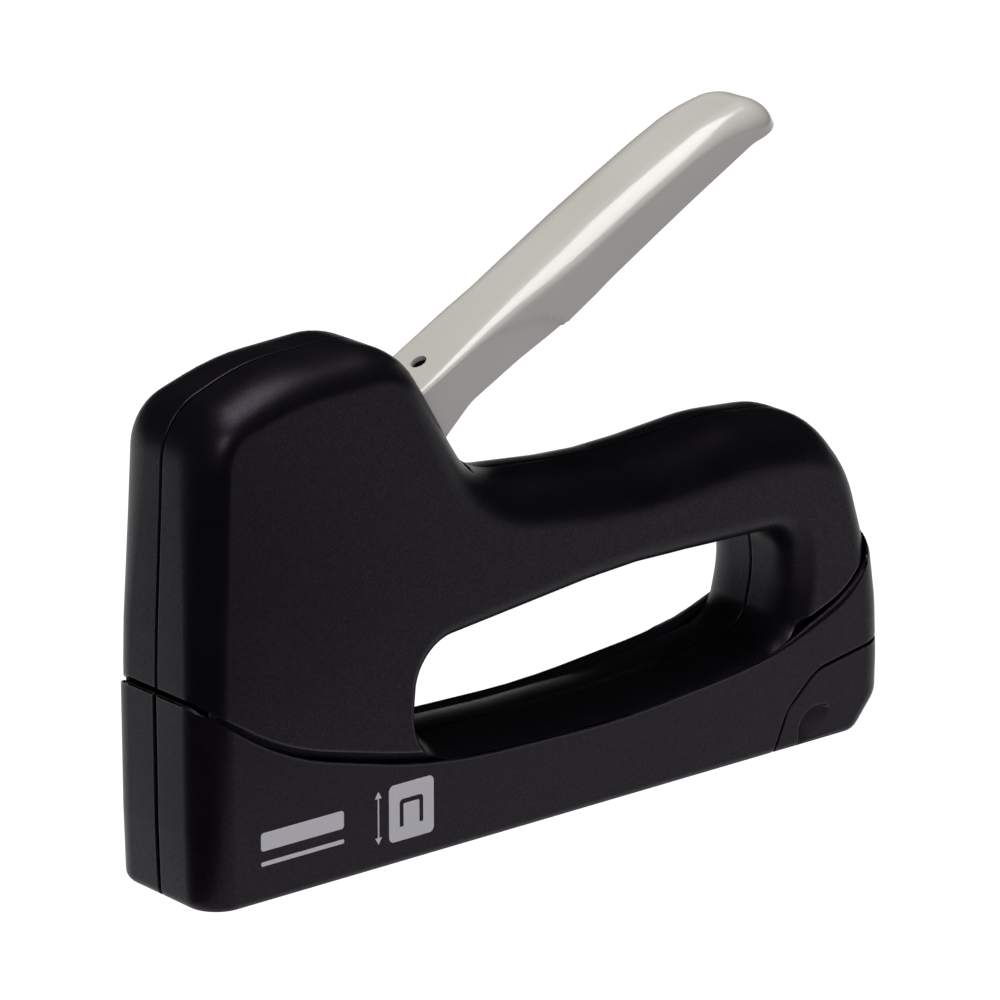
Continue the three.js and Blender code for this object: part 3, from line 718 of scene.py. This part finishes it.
def label_ink():
    """Light grey pad print, a little thin in places."""
    n = Nodes("label_ink")
    n.set(Specular_IOR_Level=0.3)
    thin = n.noise(0.3, detail=3)
    n.feed("Base Color", n.mix(n.ranged(thin, 0.35, 0.7, 0, 1), (0.86, 0.87, 0.88), (0.92, 0.93, 0.94)))
    n.feed("Roughness", n.spread(thin, 0.5, 0.6))
    n.bump((thin, 0.003))
    return n.material


PLASTIC = moulded_plastic("body_plastic", (0.0035, 0.003, 0.0045), (0.005, 0.0045, 0.006),
                          (0.02, 0.02, 0.022), 0.36, 0.15)
COVER_PLASTIC = moulded_plastic("cover_plastic", (0.004, 0.0032, 0.005), (0.0055, 0.0046, 0.0065),
                                (0.02, 0.02, 0.022), 0.38, 0.165)
PAINT = lever_paint()
STEEL = bare_steel("bright_steel", (0.5, 0.51, 0.53), (0.62, 0.63, 0.65), 0.3)
DARK_STEEL = bare_steel("dark_steel", (0.16, 0.16, 0.175), (0.26, 0.26, 0.28), 0.4)
BLACK_SCREW = bare_steel("black_screw", (0.02, 0.02, 0.023), (0.045, 0.045, 0.05), 0.42, 0.9, (1, 1, 1))
RUBBER = rubber()
INK = label_ink()
MATERIALS = {
    "bright_steel": STEEL,
    "dark_steel": DARK_STEEL,
    "black_screw": BLACK_SCREW,
    "buffer_rubber": RUBBER,
}


# ---------------- body shells

def edge_columns(points):
    """Columns round a loop that has the solid on its left: place, outward normal, and the inset and
    depth of the edge there, which change smoothly along it."""
    spread = []
    for i, row in enumerate(points):
        following = points[(i + 1) % len(points)]
        pieces = math.ceil(np.linalg.norm(following[:2] - row[:2]) / EDGE_SPACING)
        spread += [row + (following - row) * k / pieces for k in range(pieces)]
    spread = np.array(spread)
    place = spread[:, :2]
    ahead = np.roll(place, -1, axis=0) - place
    length = np.linalg.norm(ahead, axis=1)
    ahead /= length[:, None]
    behind = np.roll(ahead, 1, axis=0)
    along = (ahead + behind) / (1 + (ahead * behind).sum(axis=1))[:, None]
    out = np.stack([along[:, 1], -along[:, 0]], axis=1)
    walked = np.concatenate([[0], np.cumsum(length)[:-1]])
    apart = np.abs(walked[:, None] - walked[None, :])
    apart = np.minimum(apart, length.sum() - apart)
    share = np.exp(-((apart / EDGE_BLUR) ** 2)) * ((length + np.roll(length, 1)) / 2)[None, :]
    share /= share.sum(axis=1)[:, None]
    inset, depth = (share @ spread[:, 2:4]).T
    return place, out, inset, depth


def edge_levels(inset, depth, half_width, halved):
    """How far in and how far out in Y each column is at each level, from the seam (or from the other
    side face where the slab isn't halved) to the side face."""
    edge = [
        (inset * (1 - math.cos(a)), half_width - depth * (1 - math.sin(a)))
        for a in quarter_turn(RING_STEPS)
    ]
    if halved:
        return seam_levels(inset) + edge
    return [(inward, -y) for inward, y in edge[::-1]] + edge


def seam_levels(inset):
    """The small rounding where a half meets the seam."""
    return [
        (
            np.full_like(inset, SEAM_ROUND * (1 - math.sin(a))),
            np.full_like(inset, SEAM_GAP + SEAM_ROUND * (1 - math.cos(a))),
        )
        for a in quarter_turn(3)
    ]


def rounded_slab(outline, hole, half_width, side=0):
    """An outline with a hole, its edges rounded as it says: whole, or the half on one side of the seam."""
    vertices, faces, rims = [], [], []
    loops = [rounded(outline)] + ([rounded(hole)[::-1]] if hole else [])
    for points in loops:
        place, out, inset, depth = edge_columns(points)
        count = len(place)
        rings = []
        for inward, y in edge_levels(inset, depth, half_width, halved=bool(side)):
            first = len(vertices)
            spots = place - out * inward[:, None]
            vertices += [(x, (side or 1) * t, z) for (x, z), t in zip(spots, y)]
            rings.append(range(first, first + count))
        for low, high in zip(rings, rings[1:]):
            faces += [
                (low[i], high[i], high[(i + 1) % count], low[(i + 1) % count]) for i in range(count)
            ]
        rims.append((rings[0], rings[-1]))
    for end in (0, 1):
        ends = [rim[end] for rim in rims]
        ids = [i for loop in ends for i in loop]
        flat = [[Vector((vertices[i][0], vertices[i][2], 0)) for i in loop] for loop in ends]
        faces += [tuple(ids[i] for i in triangle) for triangle in tessellate_polygon(flat)]
    return make_object("slab", vertices, faces)


def below_groove(gap):
    """What lies below the groove, grown by a gap."""
    return prism(rounded(offset(BELOW_GROOVE, gap), 3), -FAR, FAR)


def half_space(side, gap):
    """Everything on one side of the seam, from a gap outwards."""
    near, far = sorted((side * gap, side * FAR))
    return box(-FAR, FAR, near, far, -FAR, FAR)


def cap_region(gap):
    """Where the end cap goes, grown by a gap."""
    return prism(rounded(offset(CAP_LINE, gap)), -FAR, FAR)


def skirt(side):
    """The tongue of the shell that goes down inside the covers."""
    made = prism(rounded(offset(BODY_OUTLINE, -SKIRT_INSET)), -SKIRT_HALF_WIDTH, SKIRT_HALF_WIDTH)
    cut(made, layer(SKIRT_TOP, FAR), layer(-FAR, SKIRT_FOOT))
    return common(made, below_groove(2), rounded_slab(BODY_OUTLINE, OPENING_OUTLINE, BODY_HALF_WIDTH, side))


def hollow():
    """The inside of the shells, which follows their rounded edges."""
    outline = [
        [x, z, r, inset * HOLLOW_INSET, max(1, depth - WALL)]
        for x, z, r, inset, depth in offset(BODY_OUTLINE, -WALL)
    ]
    made = rounded_slab(outline, None, CAVITY_HALF_WIDTH)
    return cut(made, prism(rounded(offset(OPENING_OUTLINE, WALL)), -FAR, FAR))


def add_bosses(shell, side):
    """Bosses for the screws and the lever's pin, with their holes; the heads go in the far shell."""
    screws = HOUSING_SCREWS + COVER_SCREWS
    for x, z in screws:
        join(shell, side_bar(side, x, z, SCREW_BOSS_R, SEAM_GAP, BOSS_END))
    join(shell, side_bar(side, PIVOT.x, PIVOT.z, PIVOT_BOSS_R, PIVOT_BOSS_START, BOSS_END))
    cut(shell, side_bar(side, PIVOT.x, PIVOT.z, PIVOT_BORE_R, 0, PIVOT_BORE_END))
    for x, z in screws:
        through = side > 0 or [x, z] in COVER_SCREWS
        cut(shell, side_bar(side, x, z, SCREW_HOLE_R, 0, FAR if through else BLIND_HOLE_END))
    if side > 0:
        radius, bottom = HOUSING_WELL
        for x, z in HOUSING_SCREWS:
            cut(shell, cross_bar(x, z, radius, bottom, FAR))


def body_shell(side, name, node):
    """The shell on the near side (-1) or the far side (1)."""
    shell = cut(rounded_slab(BODY_OUTLINE, OPENING_OUTLINE, BODY_HALF_WIDTH, side), below_groove(GROOVE))
    join(shell, skirt(side))
    slot = prism(rounded(SLOT_OUTLINE), -SLOT_HALF_WIDTH, SLOT_HALF_WIDTH)
    cut(shell, hollow(), slot)
    add_bosses(shell, side)
    cut(shell, cap_region(2 * CAP_GAP))
    soften(shell, 0)
    return piece(shell, name, "housing", PLASTIC, "body_plastic", node)


# ---------------- covers and end cap

def plan_rectangle(x0, x1, half_width, r0, r1):
    """A rectangle from x0 to x1, its corners rounded by r0 at the nose and r1 at the tail."""
    corners = [[x0, -half_width, r0], [x1, -half_width, r1], [x1, half_width, r1], [x0, half_width, r0]]
    return rounded(corners, 4)


def stacked(rings):
    """A solid from level or nearly level rings of equally many points, mirrored about the seam."""
    count = len(rings[0])
    vertices = [spot for ring in rings for spot in ring]
    faces = tube_faces(len(rings), count, ends=False)
    for first in (0, (len(rings) - 1) * count):
        faces += [
            (first + i, first + i + 1, first + count - 2 - i, first + count - 1 - i)
            for i in range(count // 2 - 1)
        ]
    return make_object("stacked", vertices, faces)


def span_at(outline, z):
    """The lowest and highest x of an outline at height z."""
    ends = zip(outline, np.roll(outline, -1, axis=0))
    hits = [
        a[0] + (b[0] - a[0]) * (z - a[1]) / (b[1] - a[1]) for a, b in ends if (a[1] - z) * (b[1] - z) < 0
    ]
    return min(hits), max(hits)


def band():
    """The solid block that the covers and the end cap are cut from."""
    outline = rounded(BAND_OUTLINE, 3)
    angles = quarter_turn(6)[:-1]
    levels = [(BOTTOM_ROUND * (1 - math.cos(a)), BOTTOM_ROUND * (1 - math.sin(a))) for a in angles]
    levels += [(z, 0) for z in np.arange(BOTTOM_ROUND, BAND_TOP, BAND_STEP)]
    rings = []
    for z, inward in levels:
        x0, x1 = span_at(outline, max(z, 0.01))
        ring = plan_rectangle(x0, x1, COVER_FACE - inward, NOSE_CORNER - inward, TAIL_CORNER - inward)
        rings.append([(x, y, z) for x, y in ring])
    return stacked(rings)


def lid():
    """What the covers' top edge is cut with: a rounded lip outside, sloping down inside the wall."""
    line = rounded(offset(BELOW_GROOVE, -GROOVE), 3)
    top = [row for row in line if row[1] > 0]
    top.sort(key=lambda row: row[0])
    line_x, line_z = [row[0] for row in top], [row[1] for row in top]
    rings = []
    for inward in LID_STEPS:
        plan = plan_rectangle(
            NOSE_X + inward, TAIL_X - inward, COVER_FACE - inward, NOSE_CORNER - inward, TAIL_CORNER - inward
        )
        ring = []
        for x, y in subdivided(plan, LID_SPACING):
            lip = LIP_FRONT + (LIP_BACK - LIP_FRONT) * smooth(x, *LIP_GROWS)
            past = max(0, inward - lip)
            under = lip - math.sqrt(lip**2 - min(lip, max(0, lip - inward)) ** 2)
            edge = np.interp(x, line_x, line_z) - np.interp(x, EDGE_DROP_X, EDGE_DROP)
            ring.append((x, y, edge - under - past))
        rings.append(ring)
    above = [(x, y, FAR) for x, y, z in rings[0]]
    return stacked([above] + rings)


def subdivided(plan, longest):
    """The plan with extra points along its two long sides."""
    points = []
    for i, spot in enumerate(plan):
        following = plan[(i + 1) % len(plan)]
        run = abs(following[0] - spot[0])
        pieces = math.ceil(run / longest) if run > LONG_SIDE else 1
        points += [spot + (following - spot) * k / pieces for k in range(pieces)]
    return points


def lower_cover(side, name, node):
    """The cover on the near side (-1) or the far side (1)."""
    cover = cut(band(), lid())
    inside = cut(
        prism(rounded(offset(BODY_OUTLINE, -COVER_WALL)), -COVER_BAY_HALF_WIDTH, COVER_BAY_HALF_WIDTH),
        layer(-FAR, COVER_WALL),
    )
    cut(cover, inside, centred_box(*CHANNEL_BAY), cap_region(CAP_GAP))
    radius, bottom = COVER_WELL
    for x, z in COVER_SCREWS:
        hole_end = FAR if side > 0 else COVER_HOLE_END
        cut(cover, side_bar(side, x, z, SCREW_HOLE_R, COVER_HOLE_START, hole_end))
        if side > 0:
            cut(cover, cross_bar(x, z, radius, bottom, FAR))
    common(cover, half_space(side, COVER_SEAM_GAP))
    soften(cover, COVER_EDGE, 3)
    return piece(cover, name, "housing", COVER_PLASTIC, "cover_plastic", node)


def dent_tool(side):
    """A disc laid against the side face, tilted so that the dent is deepest at its upper front."""
    x, z, r, depth = CAP_DENT["x"], CAP_DENT["z"], CAP_DENT["r"], CAP_DENT["depth"]
    rings = []
    for outside in (0, 1):
        ring = []
        for px, pz in circle(x, z, r, 96):
            deep = depth * ((x - px) + (pz - z)) / (r * math.sqrt(2))
            ring.append((px, side * (COVER_FACE + 3 if outside else COVER_FACE - deep), pz))
        rings.append(ring)
    return make_object("dent", rings[0] + rings[1], tube_faces(2, len(rings[0])))


def end_cap():
    """The magazine's end cap: hollow, with a hub inside and a finger dent on each side."""
    inside = cut(
        prism(rounded(offset(CAP_LINE, -COVER_WALL)), -SKIRT_HALF_WIDTH, SKIRT_HALF_WIDTH),
        layer(-FAR, COVER_WALL),
        box(TAIL_X - COVER_WALL - 0.4, FAR, -FAR, FAR, -FAR, FAR),
    )
    cap = common(band(), prism(rounded(CAP_LINE), -FAR, FAR))
    cut(cap, inside, centred_box(*CAP_MOUTH))
    join(cap, prism(HUB_OUTLINE, -HUB_HALF_WIDTH, HUB_HALF_WIDTH))
    for side in (-1, 1):
        cut(cap, dent_tool(side))
    cut(
        cap,
        cross_bar(RIVET_X, ROD_Z, HUB_HOLE_R, -5, 5),
        prism(circle(0, ROD_Z, HUB_HOLE_R), *ROD_HOLE, lambda y, z, t: (t, y, z)),
    )
    soften(cap, COVER_EDGE, 3)
    return piece(cap, "end_cap", "magazine_drawer", COVER_PLASTIC, "cover_plastic", "magazine_end_cap")


# ---------------- lever

def smooth(x, low, high):
    """0 below low, 1 above high, and a smooth step between."""
    t = min(1, max(0, (x - low) / (high - low)))
    return t * t * (3 - 2 * t)


def lever_place(u, y, v):
    """A point of the lever's own frame, in the frame of the part."""
    return (
        PIVOT.x + u * math.cos(LEVER_REST) - v * math.sin(LEVER_REST),
        y,
        PIVOT.z + u * math.sin(LEVER_REST) + v * math.cos(LEVER_REST),
    )


def lever_section(u):
    """The lever's half section at u, as (distance out, v) from the flange's foot to the crown, and its
    half width."""
    stations, *columns = zip(*LEVER_SECTIONS)
    flat, radius, crown, tight = (np.interp(u, stations, column) for column in columns)
    shoulder_y = flat + (radius - tight) * math.sin(LEVER_SHOULDER)
    shoulder_v = crown - radius + (radius - tight) * math.cos(LEVER_SHOULDER)
    widest = shoulder_y + tight
    height = shoulder_v - LEVER_FOOT_V
    rows = [(widest, LEVER_FOOT_V + height * k / FLANGE_ROWS) for k in range(FLANGE_ROWS)]
    for k in range(SHOULDER_ROWS):
        a = math.pi / 2 + (LEVER_SHOULDER - math.pi / 2) * k / SHOULDER_ROWS
        rows.append((shoulder_y + tight * math.sin(a), shoulder_v + tight * math.cos(a)))
    for k in range(CROWN_ROWS + 1):
        a = LEVER_SHOULDER * (1 - k / CROWN_ROWS)
        rows.append((flat + radius * math.sin(a), crown - radius + radius * math.cos(a)))
    crease = np.interp(u, FLANGE_CREASE_U, FLANGE_CREASE_V)
    stepped = []
    for y, v in rows:
        above = smooth(v, crease - FLANGE_BLEND, crease + FLANGE_BLEND)
        recessed = min(y, LEVER_FLANGE_Y)
        stepped.append((recessed + (y - recessed) * above, v))
    return stepped, widest


def lever_skin():
    """The outer skin: columns of the section follow the plan outline, from near base to far base."""
    tip_start = LEVER_TIP_U - LEVER_TIP_CORNER
    near = [
        [(u, y, v) for y, v in lever_section(u)[0]] for u in np.arange(LEVER_BACK_U, tip_start, 1.0)
    ]
    section, widest = lever_section(tip_start)
    for angle in range(0, 91, 5):
        a = math.radians(angle)
        column = []
        for y, v in section:
            r = LEVER_TIP_CORNER - (widest - y)
            column.append((tip_start + r * math.sin(a), widest - LEVER_TIP_CORNER + r * math.cos(a), v))
        near.append(column)
    near = [[(u, y, v - tip_drop(u)) for u, y, v in column] for column in near]
    columns = [[(u, -y, v) for u, y, v in column] for column in near]
    columns += [[(u, y, v) for u, y, v in column] for column in near[::-1]]
    rows = len(columns[0])
    vertices = [lever_place(*spot) for column in columns for spot in column]
    faces = [
        (c * rows + r, (c + 1) * rows + r, (c + 1) * rows + r + 1, c * rows + r + 1)
        for c in range(len(columns) - 1)
        for r in range(rows - 1)
    ]
    top = rows - 1
    last = len(columns) - 1
    faces += [
        (c * rows + top, (c + 1) * rows + top, (last - c - 1) * rows + top, (last - c) * rows + top)
        for c in range(len(near) - 1)
    ]
    return make_object("lever_skin", vertices, faces)


def tip_drop(u):
    """How far the lever's tip curves down at u."""
    return LEVER_TIP_DROP * max(0, 1 - (LEVER_TIP_U - u) / LEVER_DROP_LENGTH) ** 2


def lever_across(u, v, t):
    """A point of the lever's side outline, carried out to y = t."""
    return lever_place(u, t, v)


def lever():
    """The pressed sheet-metal lever: its skin thickened inwards, then trimmed and pierced."""
    made = lever_skin()
    sheet = made.modifiers.new("sheet", "SOLIDIFY")
    sheet.thickness = LEVER_SHEET * MM
    sheet.offset = -1
    sheet.use_even_offset = True
    apply_modifiers(made)
    common(made, prism(rounded(LEVER_OUTLINE, 4), -FAR, FAR, lever_across))
    cut(made, prism(circle(0, 0, LEVER_BORE_R), -FAR, FAR, lever_across))
    cut(made, prism(circle(LEVER_HOLE_U, 0, LEVER_HOLE_R), *LEVER_HOLE_V, lever_place))
    soften(made, 0.15, 2, 40)
    return piece(made, "squeeze_lever", "lever_body", PAINT, "lever_paint", "lever")


def hole_shade_plate():
    """A dark plate inside the lever's crown, painted shade that makes its hole look black."""
    made = prism(panel(*HOLE_SHADE_PLATE), -HOLE_SHADE_PLATE_HALF_WIDTH, HOLE_SHADE_PLATE_HALF_WIDTH, lever_across)
    shade(made)
    return piece(made, "lever_hole_shade_plate", "lever_body", BLACK_SCREW, "black_screw")


# ---------------- screws, pins and springs

def along_x(y, z):
    """Where turned puts a solid whose axis runs along X through (y, z)."""
    return lambda a, b, t: (t, y + a, z + b)


def along_y(x, z):
    """Where turned puts a solid whose axis runs along Y through (x, z)."""
    return lambda a, b, t: (x + a, t, z + b)


def turned(profile, place, count=40):
    """A round solid from [radius, distance along its axis] rows, closed at both ends."""
    turns = [2 * math.pi * k / count for k in range(count)]
    vertices = [place(r * math.cos(a), r * math.sin(a), t) for r, t in profile for a in turns]
    return make_object("turned", vertices, tube_faces(len(profile), count))


def screw_profile(head_r, head_y, thickness, tip_y):
    """A screw's [radius, y] rows from its tip over its ridged shank to the top of its head."""
    profile = [(0.3, tip_y), (0.95, tip_y + 1)]
    y = tip_y + 1.2
    while y < THREAD_END:
        profile += [(THREAD_ROOT_R, y), (SCREW_R, y + 0.3), (SCREW_R, y + 0.4)]
        y += THREAD_PITCH
    profile += [(1.25, y), (1.25, head_y), (head_r - 0.25, head_y), (head_r, head_y + 0.25)]
    for a in quarter_turn(8)[1:]:
        radius = max(0.05, head_r * math.cos(a))
        profile.append((radius, head_y + thickness * (0.4 + 0.6 * math.sin(a))))
    return profile


def screw(name, node, x, z, head_r, head_y, thickness, tip_y):
    """A pan-head screw driven from the far side, with a cross recess."""
    made = turned(screw_profile(head_r, head_y, thickness, tip_y), along_y(x, z), 32)
    floor_y = head_y + thickness * 0.35
    for a, b in ((1.8, 0.4), (0.4, 1.8)):
        cut(made, box(x - a, x + a, floor_y, FAR, z - b, z + b))
    shade(made, 30)
    return piece(made, name, "housing", BLACK_SCREW, "black_screw", node)


def pin(name, node, body, axis):
    """A round pin with rounded ends, of its CAD node's size, along axis 0 (X) or 1 (Y)."""
    lo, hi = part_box(node)
    middle = (lo + hi) / 2 / MM
    radius = (hi.z - lo.z) / 2 / MM
    low, high = lo[axis] / MM, hi[axis] / MM
    ends = [(radius - 0.3, 0), (radius - 0.1, 0.06), (radius, 0.3)]
    profile = [(r, low + d) for r, d in ends] + [(r, high - d) for r, d in ends[::-1]]
    place = along_y(middle.x, middle.z) if axis else along_x(middle.y, middle.z)
    made = turned(profile, place, 48)
    shade(made, 30)
    return piece(made, name, body, STEEL, "bright_steel", node)


def spring(name, node, body, start, along, length, radius, wire, turns, closed=1):
    """A spring of round wire, with closed end turns that lie against the next ones."""
    along = Vector(along)
    side = Vector((1, 0, 0)) if along.x == 0 else Vector((0, 1, 0))
    across = along.cross(side)
    steps = round(turns * COIL_STEPS)
    closed_pitch = 2.1 * wire
    open_pitch = (length - 2 * closed * closed_pitch) / (turns - 2 * closed)
    vertices = []
    for k in range(steps + 1):
        turn = k / COIL_STEPS
        lead = min(turn, closed) + max(0, turn - (turns - closed))
        height = lead * closed_pitch + (turn - lead) * open_pitch
        a = 2 * math.pi * turn
        outward = side * math.cos(a) + across * math.sin(a)
        spot = Vector(start) + along * height + outward * radius
        for j in range(WIRE_SIDES):
            b = 2 * math.pi * j / WIRE_SIDES
            vertices.append(spot + (outward * math.cos(b) + along * math.sin(b)) * wire)
    made = make_object(name, vertices, tube_faces(steps + 1, WIRE_SIDES))
    shade(made, 50)
    return piece(made, name, body, STEEL, "bright_steel", node)


def springs():
    """The plunger's, the follower's and the lever's springs."""
    lo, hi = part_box("drive_spring")
    foot, top = lo.z / MM + DRIVE_WIRE_R, hi.z / MM - DRIVE_WIRE_R
    middle_x = (lo.x + hi.x) / 2 / MM
    drive = spring("main_spring", "drive_spring", "housing", (middle_x, 0, foot), (0, 0, 1),
                   top - foot, DRIVE_SPRING_R, DRIVE_WIRE_R, 10)
    squeezed(drive)
    lo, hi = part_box("follower_spring")
    front, back = lo.x / MM + FOLLOWER_WIRE_R, hi.x / MM - FOLLOWER_WIRE_R
    height = (lo.z + hi.z) / 2 / MM
    pusher = spring("pusher_spring", "follower_spring", "magazine_drawer", (front, 0, height), (1, 0, 0),
                    back - front, FOLLOWER_SPRING_R, FOLLOWER_WIRE_R, 26)
    squeezed(pusher)
    lo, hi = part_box("lever_return_spring")
    begin, end = lo.y / MM + RETURN_WIRE_R, hi.y / MM - RETURN_WIRE_R
    spring("return_spring", "lever_return_spring", "housing", (PIVOT.x, begin, PIVOT.z), (0, 1, 0),
           end - begin, RETURN_SPRING_R, RETURN_WIRE_R, 2.6, 0)


def squeezed(thing):
    """Gives the spring a mesh of its own."""
    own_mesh(thing)


# ---------------- sheet and block parts inside

def finished(name, node, body, slot, width, segments=2):
    """A part in the shape of its CAD node, with its edges broken by width millimetres."""
    source = frame["nodes"][node]
    mesh = source.data.copy()
    mesh.transform(source.matrix_world)
    made = new_object(name, mesh)
    soften(made, width, segments)
    return piece(made, name, body, MATERIALS[slot], slot, node)


def internals():
    finished("spring_seat", "spring_cap", "housing", "dark_steel", 0.25)
    finished("guide", "guide_frame", "housing", "bright_steel", 0.15)
    finished("front_plate", "nose_plate", "housing", "bright_steel", 0.15)
    finished("staple_channel", "magazine_channel", "housing", "bright_steel", 0.15)
    finished("buffer", "impact_buffer", "housing", "buffer_rubber", 0.6, 3)
    finished("tongue", "lifting_tongue", "lever_body", "dark_steel", 0.3)
    finished("hammer", "plunger", "plunger_body", "dark_steel", 0.25)
    finished("blade", "driver_blade", "plunger_body", "bright_steel", 0.1)
    finished("rail", "magazine_rail", "magazine_drawer", "bright_steel", 0.15)
    finished("pusher", "follower", "follower_body", "dark_steel", 0.2)


def hardware():
    for i, (x, z) in enumerate(HOUSING_SCREWS):
        screw(f"body_screw_{i + 1}", f"housing_screw_{i + 1}", x, z, *HOUSING_SCREW)
    for i, (x, z) in enumerate(COVER_SCREWS):
        screw(f"base_screw_{i + 1}", f"cover_screw_{i + 1}", x, z, *COVER_SCREW)
    pin("pivot", "lever_pivot_pin", "housing", 1)
    pin("rivet", "end_cap_rivet", "magazine_drawer", 1)
    pin("guide_rod", "follower_rod", "magazine_drawer", 0)


# ---------------- print on the near side

def printed(name, points, *holes):
    """A print on the near side, in the shape of an outline with holes."""
    ink = prism(points, -COVER_FACE - 0.001, -COVER_HALF_WIDTH + 0.01)
    if holes:
        cut(ink, *holes)
    shade(ink, 30)
    return piece(ink, name, "housing", INK, "cover_plastic")


def print_marks():
    """A staple pictogram on a light panel, a size arrow beside it and two plain bars."""
    x0, x1, z0, z1 = PICTOGRAM
    wire = 0.9
    left, right, foot, crown = x0 + 2.4, x1 - 2.4, z0 + 2.6, z1 - 3
    staple = [
        [left, foot, 0],
        [left + wire, foot, 0],
        [left + wire, crown - wire, 0.3],
        [right - wire, crown - wire, 0.3],
        [right - wire, foot, 0],
        [right, foot, 0],
        [right, crown, 0.8],
        [left, crown, 0.8],
    ]
    printed("pictogram", panel(x0, x1, z0, z1, 1.1), prism(rounded(staple), -FAR, 0))
    middle, half, stem, head = x0 - 2.4, 0.75, 0.15, 1.3
    low, high = z0 + 0.4, z1 - 0.4
    flank = [(half, low + head), (stem, low + head), (stem, high - head), (half, high - head)]
    arrow = [(middle, low)] + [(middle + x, z) for x, z in flank]
    arrow += [(middle, high)] + [(middle - x, z) for x, z in flank[::-1]]
    printed("size_arrow", arrow)
    printed("wide_bar", panel(*WIDE_BAR, 0.6))
    printed("thin_bar", panel(*THIN_BAR, 0.3))


# ---------------- camera, light, floor

def look(thing, target):
    thing.rotation_mode = "QUATERNION"
    thing.rotation_quaternion = (target - thing.location).to_track_quat("-Z", "Y")


def camera():
    back = Vector((
        math.sin(CAMERA_AZIMUTH) * math.cos(CAMERA_ELEVATION),
        -math.cos(CAMERA_AZIMUTH) * math.cos(CAMERA_ELEVATION),
        math.sin(CAMERA_ELEVATION),
    ))
    data = bpy.data.cameras.new("camera")
    data.lens = CAMERA_LENS
    data.sensor_width = 36
    made = new_object("camera", data)
    made.location = CAMERA_TARGET + back * CAMERA_DISTANCE
    look(made, CAMERA_TARGET)
    bpy.context.scene.camera = made


def area_light(name, place, target, size, power):
    data = bpy.data.lights.new(name, "AREA")
    data.shape = "RECTANGLE"
    data.size, data.size_y = size
    data.energy = power
    made = new_object(name, data)
    made.location = Vector(place)
    look(made, Vector(target))


def glow(name, colour, strength):
    material = bpy.data.materials.new(name)
    material.use_nodes = True
    shader = material.node_tree.nodes["Principled BSDF"]
    shader.inputs["Base Color"].default_value = (0.02, 0.02, 0.02, 1)
    shader.inputs["Roughness"].default_value = 0.9
    shader.inputs["Specular IOR Level"].default_value = 0
    shader.inputs["Emission Color"].default_value = (*colour, 1)
    shader.inputs["Emission Strength"].default_value = strength
    return material


def prop(thing, name, colour, strength, *unseen_by):
    """Names and lights a thing of the stage, and hides it from some kinds of ray."""
    thing.name = name
    thing.data.materials.append(glow(name, colour, strength))
    for ray in unseen_by:
        setattr(thing, "visible_" + ray, False)
    return thing


def studio():
    """A bright floor and backdrop for the eye, dimmer light for the surfaces, and two lamps."""
    disc = circle(0, 0, FLOOR_R, 96)
    floor = prop(upright(disc, FLOOR_BOTTOM, -0.5), "floor", (1, 1, 1), 1.1, "diffuse", "shadow")
    bounce = prop(
        upright(disc, FLOOR_BOTTOM, -0.6), "bounce", (0.94, 0.86, 1), 0.38, "camera", "glossy"
    )
    bpy.ops.mesh.primitive_uv_sphere_add(segments=48, ring_count=24, radius=ROOM_R)
    unseen_by = ("diffuse", "glossy", "shadow", "transmission")
    backdrop = prop(bpy.context.object, "backdrop", (1, 1, 1), 1.2, *unseen_by)
    black = (0.004, 0.004, 0.004)
    flag = prop(upright(FLAG_PLAN, -0.4, -0.2), "flag", black, 0, "camera", "diffuse", "shadow")
    area_light("overhead", place=(0.02, 0.02, 1.5), target=(0, 0, 0), size=(0.75, 1.05), power=16.5)
    area_light("key", place=(-0.75, -0.62, 0.84), target=(0, 0, 0.06), size=(0.4, 0.4), power=4.5)
    world = bpy.data.worlds.new("world")
    bpy.context.scene.world = world
    world.use_nodes = True
    world.node_tree.nodes["Background"].inputs["Color"].default_value = (0.012, 0.012, 0.013, 1)
    bpy.context.scene.view_settings.view_transform = "Standard"


camera()
body_shell(-1, "shell_left", "body_shell_left")
body_shell(1, "shell_right", "body_shell_right")
lower_cover(-1, "cover_left", "lower_cover_left")
lower_cover(1, "cover_right", "lower_cover_right")
end_cap()
lever()
hole_shade_plate()
internals()
hardware()
springs()
print_marks()
studio()
